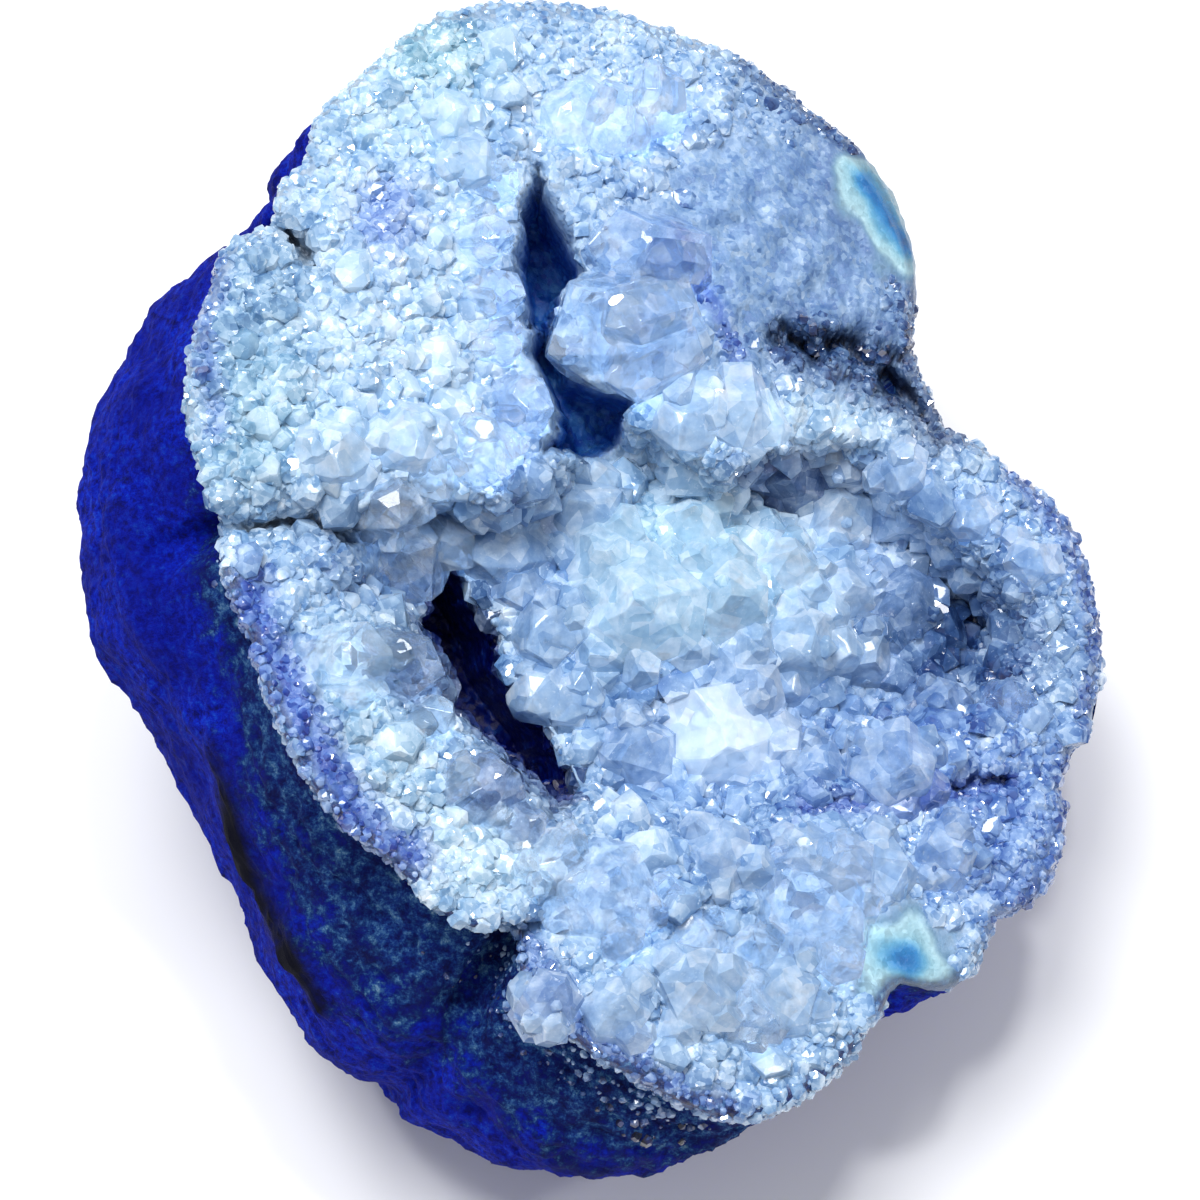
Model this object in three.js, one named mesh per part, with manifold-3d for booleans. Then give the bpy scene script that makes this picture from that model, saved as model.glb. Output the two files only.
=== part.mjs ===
// Half of a small agate geode, dyed blue: a lumpy stone shell, broken open, whose face and deep
// hollow are lined with quartz points grown together into one crust.
// Millimetres, +Z up, standing on its flat spot with the origin under the middle of its box.
//
// The shapes are worked out in a face frame: u to the right and v up the broken face as it is
// looked at from the front, and w out of it. The mouth, the plane that the rim lies near, is
// tilted in that frame. The frame then leans back until the stone rests on its flat spot.
import * as THREE from "three";
import { mergeVertices } from "three/addons/utils/BufferGeometryUtils.js";
import Module from "manifold-3d";

const wasm = await Module();
wasm.setup();

const RAD = Math.PI / 180;

// Driving dimensions
const LEAN = 30 * RAD; // the face frame leans back by this much from lying flat
const REST = [0.05, -6.82, 38.3]; // where the middle of the mouth stands over the origin
const MOUTH_TILT = 28 * RAD; // the mouth turns away from the face frame's w by this much
const MOUTH_TURN = 40 * RAD; // and towards this direction, measured from u
const RIM_BAND = 3.2; // height of the crust's broken edge above the shell
const CRUST = 3.4; // thickness of the crust under its points, along w
const GAP = 0.5; // clearance between crust and shell, along w
const SHELL_DEPTH = 36; // from the mouth to the back of the shell
const BELLY = 0.7; // how soon the back draws in below the rim: less is fuller
const BELLY_LEAN = 0.2; // how much more it draws in on the side that the mouth turns towards
const FOOT = [-9, 15]; // the lowest part of the back, left and rearward of the mouth's middle
const FOOT_SWELL = 6; // how far the back swells down there
const FOOT_WIDTH = 15; // and the half-width of that swell
const SEAT_CUT = 2.1; // how much of the back's lowest point is worn flat
const ROUGH = 0.8; // height of the broken quartz's unevenness

// The rim, anticlockwise from the right: u, v, and how far the shell's belly swells out below it
const RIM = [
  [39, -3.5, 0], [38.2, 2.5, 0], [35.7, 7.5, 0], [31.5, 10.5, 0], [30, 12, 0],
  [27.2, 13.2, 0.8], [25.8, 16.2, 1], [24.5, 19.5, 0.8], [25, 26, 0], [23.7, 31.2, 0],
  [20.7, 35.8, 0], [15.6, 39.8, 0], [11.5, 42.8, 0], [7, 44.4, 0], [1.5, 45.9, 0],
  [-3, 46.4, 0], [-7.5, 46, 0], [-11.7, 45, 0.2], [-14.8, 42.6, 1], [-17.7, 39.9, 0.9],
  [-21.2, 35.9, 0.3], [-21.5, 33, 0.2], [-23.7, 30.2, 1.2], [-24.2, 27.6, 2.6], [-27.2, 25.3, 3.4],
  [-28.5, 21, 3.8], [-29.5, 17, 4.3], [-29.5, 12.5, 5.4], [-28, 8.5, 6.6], [-27, 5.5, 7],
  [-26.5, 1.5, 5.9], [-24.5, -3, 3.9], [-23.5, -6.5, 2.2], [-20.5, -12.5, 2], [-17.5, -16, 3.5],
  [-15, -18, 5.8], [-11.5, -21.5, 7.7], [-9, -23, 8.9], [-6, -23.5, 9], [-5.5, -26.5, 8],
  [-3.5, -29, 6.9], [-0.5, -32, 6.3], [3, -34, 5.3], [6.5, -36, 3.4], [10, -37, 1.3],
  [13.6, -36.2, 0], [16.7, -34.3, 0], [18.7, -32.3, 0], [20.3, -30.3, 0], [22, -28.3, 0],
  [25.2, -28.7, 0], [27.6, -27.6, 0], [29.3, -24.7, 0], [29.8, -23.7, 0], [32.7, -22.6, 0],
  [34.7, -19.6, 0], [35.5, -16, 0], [35, -14, 0], [36.5, -11.5, 0], [38.2, -9, 0],
];

// The hollow in the middle of the face: its edge, how deep it is, and how wide its sloping wall is
const HOLLOW = [
  [-4.5, 33], [-1, 27.5], [-3, 22.5], [-2.5, 19], [1, 14.5], [4, 14.5], [9, 10], [14, 12.5],
  [21.5, 12.5], [25.5, 8], [31, 3], [33.5, -3], [29.5, -9], [23.5, -12], [19.5, -14],
  [15, -15], [10, -19], [3.5, -18], [0, -17.5], [-3, -16.5], [-7, -12.5], [-10.5, -8.5],
  [-13, -4.5], [-19.5, 0], [-18, 3], [-21, 5.5], [-13, 9], [-7.5, 8], [-3.5, 11],
  [-4, 15], [-6, 19.5], [-7, 24], [-6, 29],
];
const HOLLOW_DEPTH = 9;
const HOLLOW_WALL = 4;

// Clefts that drop from the hollow with steep walls, and run in under the left lobe and ridge:
// the mouth's edge, the depth of the floor below the mouth, and how far the floor lies to the left
const CLEFTS = [
  {
    edge: [
      [-4.5, 33.5], [-3.5, 29.5], [-1, 25], [-3.5, 21], [-2, 17], [3, 15.5], [1.5, 11.5],
      [0, 10.5], [-4.5, 10.5], [-3.5, 14], [-5.5, 18], [-5.5, 21], [-6.5, 24.5], [-6, 30.5],
    ],
    depth: 15, under: 2.5,
  },
  {
    edge: [
      [-11, 6.5], [-12, 3], [-9, -3], [-7.5, -7], [-3, -11], [-1, -14.5], [-3, -16],
      [-7.5, -11.5], [-11, -8.5], [-12, -4.5], [-14, -1.5], [-13, 0],
    ],
    depth: 23, under: 2,
  },
];

// The trench of the shell below each cleft: its line, its floor below the mouth and half-width.
// The upper one is the shallower, because the shell's back comes in close behind it.
const TRENCHES = [
  { path: [[-6, 30], [-4.5, 20], [-4, 12]], floor: 19, width: 9 },
  { path: [[-4, 12], [-12, 4], [-11, -4], [-5, -12]], floor: 27, width: 11 },
];

// Where the rim runs in at the right, the shell's floor is raised so that the wall stays whole:
// u, v, how far it reaches, and its height
const NOTCH = [23.5, 15.5, 5, 1.4];

// Raised and low swells of the face: u, v, half-widths along u and v, height
const SWELLS = [
  [-16.5, 19.5, 9, 11, 1.8], // the left lobe
  [12.5, 28.5, 9, 8, 1.2], // the upper right lobe
  [7, 0, 9, 6, 3.2], // the mound in the hollow
  [-18, -7.5, 4, 9, 0.8], // the ridge along the lower left
  [30, -3.5, 4, 4, -3.5], // a basin beside the right rim
  [15, 9.5, 4.5, 2.2, -3.5], // a small cave under the upper right lobe
  [-16, 3, 4, 4, -2], // the saddle between left lobe and ridge
];

// Cracks across the face: a path of u, v, depth and half-width
const CRACKS = [
  { path: [[14, 20], [18.5, 19.5], [21.5, 17.5], [26.5, 13]], depth: 3, width: 0.9 },
  { path: [[-24, 27.5], [-22, 26], [-21, 24.5]], depth: 2, width: 0.9 },
  { path: [[-27, 5], [-23.5, 5.5], [-20.5, 5.5]], depth: 3, width: 1.2 },
  { path: [[-6.5, -23.5], [-5, -23], [-3, -20.5]], depth: 2.5, width: 1.1 },
  { path: [[15, -15], [18.5, -15], [22.5, -14.5], [30.5, -13.5]], depth: 1.4, width: 0.9 },
];

// Quartz points that stand out by themselves: u, v, radius, and the lean of the point along u and v
const POINTS = [
  [9, -10.5, 4.6, 0.1, -0.1], [2, -11.5, 3.1, -0.3, -0.1], [13, -13, 2.9, 0.3, -0.3],
  [-9, 3, 3.8, -0.8, -0.1], [-2, 7.5, 3.8, -0.2, 0.5], [0, 3, 3.4, -0.2, 0.3],
  [7, 6, 2.7, 0, 0.6], [3, -0.5, 4.7, -0.1, 0.1], [9.5, 0, 3.9, 0.1, 0.1],
  [14.5, 3, 2.8, 0.3, 0.5], [19, 1, 2.6, 0.3, 0.2], [23.5, 0, 3.1, 0.4, 0],
  [15.5, -3.5, 3.5, 0.2, -0.1], [10, -5.5, 3.2, 0, -0.3], [20.5, -4.5, 2.6, 0.3, -0.2],
  [-4.5, -3, 3, -0.5, -0.3], [-6, -7.5, 2.5, -0.5, -0.4], [-3, -8, 2.2, -0.3, -0.5],
  [22, -12, 3.4, 0.2, 0.1], [26, -8, 2.2, 0.2, 0.3], [16.5, -12.5, 2.3, 0.2, 0.2],
  [8.5, -18, 2.8, -0.1, 0.2], [14.5, -21.5, 4.3, -0.2, 0.3], [15, -18.5, 2.7, 0, 0.2],
  [1, -20, 3.7, 0.2, 0.4], [-2.5, -18, 2.4, 0.5, 0.5], [-7, -12.5, 2.4, 0.8, 0.6],
  [-5, -15.5, 1.6, 0.9, 0.5], [-11, -8, 1.5, 0.9, 0.3], [-16, -4, 2.5, 1.6, 0.1],
  [-12.5, -5, 2.2, 1.8, -0.4], [-13.5, 2, 3.2, 1.2, -1.6], [-14.5, 6, 2.3, 0.4, -0.6],
  [-11.5, 8, 1.8, 0.6, -0.8], [-18.5, 9.5, 2.4, 0.2, -0.6], [-13.5, 11, 2.6, 0.2, -0.4],
  [-8, 9.5, 2.5, 0.7, -0.8], [-4.5, 14, 2.1, 1.3, 0], [-6, 18.5, 1.5, 1.6, 0],
  [-6, 22.5, 1.8, 1.8, -0.3], [-6.5, 27, 1.7, 1.6, 0.1], [-6, 30.5, 1.5, 1.4, -0.3],
  [0, 19, 4.1, -1.3, -0.5], [0, 26, 3.5, -1.2, 0.1], [5, 13, 2.9, -0.3, -0.9],
  [10.5, 13, 2.4, 0.1, -1.2], [14.5, 9.5, 3.4, 0.1, -0.3], [19, 10, 2, 0.2, -0.5],
  [18.5, 7, 2.8, 0.1, 0.4], [-2.5, 35.5, 2.3, -0.4, -0.9], [0.5, 35, 2.3, -0.2, -1.2],
  [4, 36.5, 2.3, 0, -1.4], [7, -27, 3, 0.2, 0.3], [10.5, -28.5, 2.4, 0.2, 0.4],
  [13, -27.5, 2.7, -0.1, 0.5], [1.5, -28, 2.5, 0.2, 0.5], [-3, -27, 2.2, 0.4, 0.6],
  [16.5, -24.5, 1.9, -0.2, 0.5], [7, -23.5, 2, 0.2, 0.4], [11, -24.5, 2, 0, 0.5],
  [19.5, -19, 2.4, -0.4, 0.4], [24.5, -18, 2.2, -0.5, 0.4], [30, -7.5, 1.8, -0.6, 0.2],
  [32, 3, 2.2, -0.7, 0], [28, 6, 2, -0.5, -0.3], [23, 9, 2, -0.2, -0.6],
  [3, 18.5, 2.7, -0.8, -0.6], [-11, 35, 1.9, 0.2, -0.6], [-9, 32, 2.1, 0.6, -0.5],
];
const FILL_POINTS = 36; // smaller points spread evenly over the rest of the face
const FILL_RADIUS = [1.2, 2.3]; // from the smallest to the largest of them

// The rings of the shell and crust: shares of the way from the middle of the face to its rim,
// and angles from the rim round the back to its lowest point
const FACE_RINGS = [0.16, 0.31, 0.45, 0.57, 0.68, 0.78, 0.88, 0.955];
const BACK_RINGS = [10, 22, 34, 46, 58, 70, 81].map((degrees) => degrees * RAD);

const mouth = new THREE.Vector3(
  Math.sin(MOUTH_TILT) * Math.cos(MOUTH_TURN),
  Math.sin(MOUTH_TILT) * Math.sin(MOUTH_TURN),
  Math.cos(MOUTH_TILT),
);

const down = new THREE.Vector3(0, -Math.sin(LEAN), -Math.cos(LEAN));

const smooth = (x) => {
  const t = Math.min(1, Math.max(0, x));
  return t * t * (3 - 2 * t);
};

// A repeatable number from 0 to 1 for each whole number
const scatter = (n) => {
  const x = Math.sin(n * 12.9898) * 43758.5453;
  return x - Math.floor(x);
};

function distanceToEdge(u, v, [au, av], [bu, bv]) {
  const du = bu - au;
  const dv = bv - av;
  const t = Math.min(1, Math.max(0, ((u - au) * du + (v - av) * dv) / (du * du + dv * dv)));
  return Math.hypot(u - au - t * du, v - av - t * dv);
}

function distanceToPath(u, v, path) {
  let nearest = Infinity;
  for (let i = 0; i + 1 < path.length; i++) {
    nearest = Math.min(nearest, distanceToEdge(u, v, path[i], path[i + 1]));
  }
  return nearest;
}

// How far a place lies inside a closed loop, or 0 outside it
function depthInside(u, v, loop) {
  let inside = false;
  for (let i = 0, j = loop.length - 1; i < loop.length; j = i++) {
    const [au, av] = loop[i];
    const [bu, bv] = loop[j];
    if (av > v !== bv > v && u < ((bu - au) * (v - av)) / (bv - av) + au) inside = !inside;
  }
  return inside ? distanceToPath(u, v, [...loop, loop[0]]) : 0;
}

// Heights along w: of the mouth plane, of the crust's surface between its points, and of the
// shell that the crust lines
const mouthHeight = (u, v) => -(mouth.x * u + mouth.y * v) / mouth.z;

function faceHeight(u, v) {
  let height = mouthHeight(u, v);
  height -= HOLLOW_DEPTH * smooth(depthInside(u, v, HOLLOW) / HOLLOW_WALL);
  for (const [cu, cv, ru, rv, rise] of SWELLS) {
    height += rise * Math.exp(-(((u - cu) / ru) ** 2) - ((v - cv) / rv) ** 2);
  }
  for (const { path, depth, width } of CRACKS) {
    height -= depth * Math.exp(-((distanceToPath(u, v, path) / width) ** 2));
  }
  return height;
}

function shellHeight(u, v) {
  const [cu, cv, reach, rise] = NOTCH;
  const whole = rise * Math.exp(-(((u - cu) ** 2 + (v - cv) ** 2) / reach ** 2));
  const lining = faceHeight(u, v) - CRUST - GAP + whole;
  const floors = TRENCHES.map(({ path, floor, width }) => {
    const trench = smooth(1.4 - distanceToPath(u, v, path) / width);
    return lining + (mouthHeight(u, v) - floor - lining) * trench;
  });
  return Math.min(lining, ...floors);
}

// A closed surface from a first point, rings of points and a last point, facing out
function skin(first, rings, last) {
  const around = rings[0].length;
  const points = [first, ...rings.flat(), last];
  const at = (row, i) => 1 + row * around + (i % around);
  const faces = [];
  for (let i = 0; i < around; i++) {
    faces.push(0, at(0, i), at(0, i + 1));
    for (let row = 0; row + 1 < rings.length; row++) {
      faces.push(at(row, i), at(row + 1, i), at(row + 1, i + 1));
      faces.push(at(row, i), at(row + 1, i + 1), at(row, i + 1));
    }
    faces.push(at(rings.length - 1, i), points.length - 1, at(rings.length - 1, i + 1));
  }
  const geometry = new THREE.BufferGeometry().setFromPoints(points);
  geometry.setIndex(faces);
  return geometry;
}

function solidOf(geometry) {
  const bare = geometry.clone();
  bare.deleteAttribute("normal");
  bare.deleteAttribute("uv");
  const merged = mergeVertices(bare);
  return new wasm.Manifold(
    new wasm.Mesh({
      numProp: 3,
      vertProperties: new Float32Array(merged.attributes.position.array),
      triVerts: new Uint32Array(merged.index.array),
    }),
  );
}

// A solid's outer surface alone, without the pockets that neighbouring points close off
function geometryOf(solid) {
  const mesh = solid.getMesh();
  const points = [];
  for (let i = 0; i < mesh.numVert; i++) {
    const at = i * mesh.numProp;
    points.push(new THREE.Vector3(...mesh.vertProperties.subarray(at, at + 3)));
  }
  const group = points.map((_, i) => i);
  const groupOf = (i) => {
    while (group[i] !== i) i = group[i] = group[group[i]];
    return i;
  };
  const faces = [];
  for (let i = 0; i < mesh.triVerts.length; i += 3) {
    faces.push([...mesh.triVerts.subarray(i, i + 3)]);
  }
  for (const [a, b, c] of faces) {
    group[groupOf(b)] = groupOf(a);
    group[groupOf(c)] = groupOf(a);
  }
  const sizes = points.map(() => 0);
  for (const [a] of faces) sizes[groupOf(a)]++;
  const outer = sizes.indexOf(Math.max(...sizes));
  const geometry = new THREE.BufferGeometry().setFromPoints(points);
  geometry.setIndex(faces.filter(([a]) => groupOf(a) === outer).flat());
  return geometry;
}

// A ring at a share of the way out to the rim, at the height that a function gives
const ring = (share, height) =>
  RIM.map(([u, v], i) => new THREE.Vector3(u * share, v * share, height(u * share, v * share, i)));

// The lumps of the shell's outside: a few slow waves that cross each other
function lump(p) {
  const slow = Math.sin(p.x / 6.3 + 0.6) * Math.sin(p.y / 5.4 + 1.9) * Math.sin(p.z / 5.9 + 0.4);
  const quick = Math.sin(p.x / 2.7 + 2.2) * Math.sin(p.y / 3.1 + 0.3) * Math.sin(p.z / 2.9);
  return 1.5 * slow + 0.5 * quick;
}

// A ring round the back of the shell, at an angle from the rim to its lowest point; the side that
// the mouth turns towards is drawn in more than the other
function backRing(angle) {
  const swell = Math.sin(Math.PI * (angle / (90 * RAD)) ** 0.7);
  const depth = RIM_BAND + GAP + (SHELL_DEPTH - RIM_BAND) * Math.sin(angle);
  return RIM.map(([u, v, belly]) => {
    const rim = new THREE.Vector3(u, v, mouthHeight(u, v));
    const towards = Math.cos(Math.atan2(v, u) - MOUTH_TURN);
    const out = Math.cos(angle) ** (BELLY + BELLY_LEAN * towards);
    const place = rim.clone().multiplyScalar(out).addScaledVector(mouth, -depth);
    const outward = rim.normalize();
    place.addScaledVector(outward, belly * swell);
    place.addScaledVector(outward, lump(place) * Math.sin(angle));
    const rearward = place.y * -down.z + place.z * down.y;
    const off = Math.hypot(place.x - FOOT[0], rearward - FOOT[1]) / FOOT_WIDTH;
    return place.addScaledVector(down, FOOT_SWELL * Math.exp(-off * off));
  });
}

// The half-space below the flat spot, as one big block
function belowSeat(lowest) {
  const side = 200;
  const block = new THREE.BoxGeometry(side, side, side);
  block.translate(0, 0, lowest + SEAT_CUT - side / 2);
  block.rotateX(-LEAN);
  return solidOf(block);
}

function shellSolid() {
  const front = FACE_RINGS.map((share) => ring(share, shellHeight));
  const rim = ring(1, (u, v) => faceHeight(u, v) - RIM_BAND - GAP);
  const back = BACK_RINGS.map(backRing);
  const middle = new THREE.Vector3(0, 0, shellHeight(0, 0));
  const pole = backRing(89.9 * RAD)[0];
  const body = skin(middle, [...front, rim, ...back], pole);
  const heights = [...back.flat(), pole].map(
    (p) => p.y * Math.sin(LEAN) + p.z * Math.cos(LEAN),
  );
  return solidOf(body).subtract(belowSeat(Math.min(...heights)));
}

// One quartz point: a six-sided column with a six-faced tip, three of whose faces are larger.
// The middle of what shows of it stands over u, v.
function quartzPoint(u, v, radius, leanU, leanV, number) {
  const axis = new THREE.Vector3(leanU, leanV, 1).normalize();
  const stands = radius * (0.4 + 0.35 * Math.hypot(leanU, leanV));
  const tip = radius * 1.05;
  const root = -radius * 0.9;
  const rootU = u - (axis.x * (stands + tip)) / 2;
  const rootV = v - (axis.y * (stands + tip)) / 2;
  const twist = scatter(number + 0.5) * 60 * RAD;
  const shoulders = [];
  const roots = [];
  for (let side = 0; side < 6; side++) {
    const angle = twist + side * 60 * RAD;
    const wide = radius * (side % 2 ? 0.92 : 1.06);
    const step = radius * 0.16 * (side % 2 ? 1 : -1);
    shoulders.push(
      new THREE.Vector3(wide * Math.cos(angle), wide * Math.sin(angle), stands + step),
    );
    roots.push(new THREE.Vector3(wide * Math.cos(angle), wide * Math.sin(angle), root));
  }
  const top = new THREE.Vector3(0.1 * radius, 0, stands + tip);
  const geometry = skin(top, [shoulders, roots], new THREE.Vector3(0, 0, root));
  const turn = new THREE.Quaternion().setFromUnitVectors(new THREE.Vector3(0, 0, 1), axis);
  geometry.applyQuaternion(turn);
  geometry.translate(rootU, rootV, faceHeight(rootU, rootV));
  return solidOf(geometry);
}

// Where the smaller points stand: spread evenly by the golden angle, clear of the listed ones
function fillPoints() {
  const placed = [];
  const [small, large] = FILL_RADIUS;
  for (let n = 0; n < FILL_POINTS; n++) {
    const share = 0.93 * Math.sqrt((n + 0.5) / FILL_POINTS);
    const along = ((n * 0.618034) % 1) * RIM.length;
    const [au, av] = RIM[Math.floor(along)];
    const [bu, bv] = RIM[(Math.floor(along) + 1) % RIM.length];
    const u = share * (au + (bu - au) * (along % 1));
    const v = share * (av + (bv - av) * (along % 1));
    const radius = small + (large - small) * scatter(n + 7) * (1.2 - share);
    const crowded = POINTS.some(([pu, pv, r]) => Math.hypot(pu - u, pv - v) < 0.8 * (r + radius));
    const inCleft = CLEFTS.some(({ edge }) => depthInside(u, v, edge) > 0);
    if (!crowded && !inCleft) placed.push([u, v, radius, scatter(n + 11) - 0.5, scatter(n + 23) - 0.5]);
  }
  return placed;
}

// The space of a cleft: its edge carried up out of the mouth, and drawn in and aside at its floor
function cleftSolid({ edge, depth, under }) {
  const corners = edge.map(([u, v]) => new THREE.Vector2(u, v));
  const middle = new THREE.Box2().setFromPoints(corners).getCenter(new THREE.Vector2());
  const shape = new THREE.Shape(corners);
  const geometry = new THREE.ExtrudeGeometry(shape, { depth: 1, bevelEnabled: false });
  const place = geometry.attributes.position;
  for (let i = 0; i < place.count; i++) {
    const onFloor = place.getZ(i) === 0;
    const corner = new THREE.Vector2(place.getX(i), place.getY(i));
    const height = mouthHeight(corner.x, corner.y) + (onFloor ? -depth : 8);
    if (onFloor) corner.lerp(middle, 0.25);
    place.setXYZ(i, corner.x + (onFloor ? -under : under / 2), corner.y, height);
  }
  return solidOf(geometry);
}

function crustSolid(shell) {
  const broken = (u, v, i) => {
    const rough = ROUGH * smooth(Math.hypot(u, v) / 14);
    return faceHeight(u, v) + rough * (2 * scatter(i * 31 + u * 97) - 1);
  };
  const below = (u, v) => shellHeight(u, v) - GAP;
  const top = FACE_RINGS.map((share) => ring(share, broken));
  const edge = ring(1, (u, v, i) => broken(u, v, i) - 0.35 * RIM_BAND);
  const under = [0.94, ...FACE_RINGS.slice(0, -2).reverse()].map((share) => ring(share, below));
  const first = new THREE.Vector3(0, 0, faceHeight(0, 0));
  const last = new THREE.Vector3(0, 0, below(0, 0));
  let crust = solidOf(skin(first, [...top, edge, ...under], last));
  for (const cleft of CLEFTS) crust = crust.subtract(cleftSolid(cleft));
  [...POINTS, ...fillPoints()].forEach((point, number) => {
    crust = crust.add(quartzPoint(...point, number));
  });
  const lifted = geometryOf(shell).translate(0, 0, GAP);
  return crust.subtract(solidOf(lifted));
}

function named(name, solid, material) {
  const mesh = new THREE.Mesh(geometryOf(solid), material);
  mesh.name = name;
  return mesh;
}

const stone = new THREE.MeshStandardMaterial({ color: "#10188c", roughness: 0.8, metalness: 0 });
const quartz = new THREE.MeshStandardMaterial({ color: "#a9c3e4", roughness: 0.15, metalness: 0 });

const shell = shellSolid();
const geode = new THREE.Group();
geode.rotation.x = LEAN;
geode.position.set(...REST);
geode.add(named("shell", shell, stone), named("crystal_crust", crustSolid(shell), quartz));

export default geode;
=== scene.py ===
# Half of an agate geode, dyed blue: a rough ultramarine shell, a crust of pale quartz over its
# broken face, and a deep hollow lined with quartz points.
#
# Millimetres in a face frame, as in the part's own source: u to the right and v up the broken
# face as the camera sees it, and w towards the camera. to_row turns them into the row's metres.
import math
import random

import bmesh
import bpy
import numpy as np
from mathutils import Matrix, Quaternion, Vector, noise


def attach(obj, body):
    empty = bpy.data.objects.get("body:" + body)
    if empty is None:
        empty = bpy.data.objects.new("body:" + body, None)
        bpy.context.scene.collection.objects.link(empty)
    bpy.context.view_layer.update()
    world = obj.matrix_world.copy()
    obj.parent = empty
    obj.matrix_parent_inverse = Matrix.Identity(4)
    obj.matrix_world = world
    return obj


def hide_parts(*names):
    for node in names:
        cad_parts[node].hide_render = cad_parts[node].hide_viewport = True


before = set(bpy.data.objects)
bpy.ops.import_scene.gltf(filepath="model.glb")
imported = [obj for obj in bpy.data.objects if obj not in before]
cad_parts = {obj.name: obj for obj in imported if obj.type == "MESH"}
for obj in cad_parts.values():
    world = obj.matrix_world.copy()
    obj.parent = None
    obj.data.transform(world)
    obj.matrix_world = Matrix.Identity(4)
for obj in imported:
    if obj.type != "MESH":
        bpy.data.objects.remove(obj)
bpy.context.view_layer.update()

# Driving dimensions, the same as the part's
LEAN = math.radians(30)
REST = (0.05, -6.82, 38.3)
MOUTH_TILT = math.radians(28)
MOUTH_TURN = math.radians(40)
RIM_BAND = 3.2
CRUST = 3.4
GAP = 0.5
SHELL_DEPTH = 36
BELLY = 0.7
BELLY_LEAN = 0.2
FOOT = (-9, 15)
FOOT_SWELL = 6
FOOT_WIDTH = 15
FIRST_RING = math.radians(10)

# The columns of points round the rind and the crust, and the circle on which the noise runs
# round the rim
COLUMNS = 520
MEAN_RADIUS = 34

# The crust's broken edge: shares of the way to the rim, and how far each row lies below the face
EDGE_ROWS = [
    (0.97, 0.15), (0.983, 0.5), (0.993, 1.1), (1.0, 1.9), (1.001, 2.8), (0.99, 3.6), (0.975, 4.0),
]
SUGARED_EDGE_ROWS = 4
UNDER_SHARES = (0.94, 0.85, 0.75, 0.6, 0.45, 0.3, 0.15)
LIFT = 0.02  # the crust's underside over the shell's floor

# The rim, anticlockwise from the right: u, v, and how far the shell's belly swells out below it
RIM = np.array([
    (39, -3.5, 0), (38.2, 2.5, 0), (35.7, 7.5, 0), (31.5, 10.5, 0), (30, 12, 0),
    (27.2, 13.2, 0.8), (25.8, 16.2, 1), (24.5, 19.5, 0.8), (25, 26, 0), (23.7, 31.2, 0),
    (20.7, 35.8, 0), (15.6, 39.8, 0), (11.5, 42.8, 0), (7, 44.4, 0), (1.5, 45.9, 0),
    (-3, 46.4, 0), (-7.5, 46, 0), (-11.7, 45, 0.2), (-14.8, 42.6, 1), (-17.7, 39.9, 0.9),
    (-21.2, 35.9, 0.3), (-21.5, 33, 0.2), (-23.7, 30.2, 1.2), (-24.2, 27.6, 2.6), (-27.2, 25.3, 3.4),
    (-28.5, 21, 3.8), (-29.5, 17, 4.3), (-29.5, 12.5, 5.4), (-28, 8.5, 6.6), (-27, 5.5, 7),
    (-26.5, 1.5, 5.9), (-24.5, -3, 3.9), (-23.5, -6.5, 2.2), (-20.5, -12.5, 2), (-17.5, -16, 3.5),
    (-15, -18, 5.8), (-11.5, -21.5, 7.7), (-9, -23, 8.9), (-6, -23.5, 9), (-5.5, -26.5, 8),
    (-3.5, -29, 6.9), (-0.5, -32, 6.3), (3, -34, 5.3), (6.5, -36, 3.4), (10, -37, 1.3),
    (13.6, -36.2, 0), (16.7, -34.3, 0), (18.7, -32.3, 0), (20.3, -30.3, 0), (22, -28.3, 0),
    (25.2, -28.7, 0), (27.6, -27.6, 0), (29.3, -24.7, 0), (29.8, -23.7, 0), (32.7, -22.6, 0),
    (34.7, -19.6, 0), (35.5, -16, 0), (35, -14, 0), (36.5, -11.5, 0), (38.2, -9, 0),
])

# The hollow's edge, its depth and the width of its sloping wall
HOLLOW = [
    (-4.5, 33), (-1, 27.5), (-3, 22.5), (-2.5, 19), (1, 14.5), (4, 14.5), (9, 10), (14, 12.5),
    (21.5, 12.5), (25.5, 8), (31, 3), (33.5, -3), (29.5, -9), (23.5, -12), (19.5, -14),
    (15, -15), (10, -19), (3.5, -18), (0, -17.5), (-3, -16.5), (-7, -12.5), (-10.5, -8.5),
    (-13, -4.5), (-19.5, 0), (-18, 3), (-21, 5.5), (-13, 9), (-7.5, 8), (-3.5, 11),
    (-4, 15), (-6, 19.5), (-7, 24), (-6, 29),
]
HOLLOW_DEPTH = 9
HOLLOW_WALL = 4

# The two clefts that drop from it: edge, and the depth of the part's floor below the mouth
CLEFTS = [
    ([
        (-4.5, 33.5), (-3.5, 29.5), (-1, 25), (-3.5, 21), (-2, 17), (3, 15.5), (1.5, 11.5),
        (0, 10.5), (-4.5, 10.5), (-3.5, 14), (-5.5, 18), (-5.5, 21), (-6.5, 24.5), (-6, 30.5),
    ], 15),
    ([
        (-11, 6.5), (-10.8, 3.4), (-7.4, -2.6), (-6, -6.6), (-2.6, -10.8), (-1, -14.5), (-3, -16),
        (-7.5, -11.5), (-11, -8.5), (-12, -4.5), (-14, -1.5), (-13, 0),
    ], 23),
]
# Of each cleft: how wide its wall is, the share of its depth that the visible floor lies at, how
# far outside its edge the points start, and how far inside its edge they still grow
CLEFT_WALL = 1.3
CLEFT_FLOORS = (0.91, 0.95)
CLEFT_LIPS = (0.5, 0.0)
CLEFT_REACHES = (0.0, 1.0)
CLEFTS_PART = 9  # the upper cleft lies above this v, and the lower one below

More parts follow.
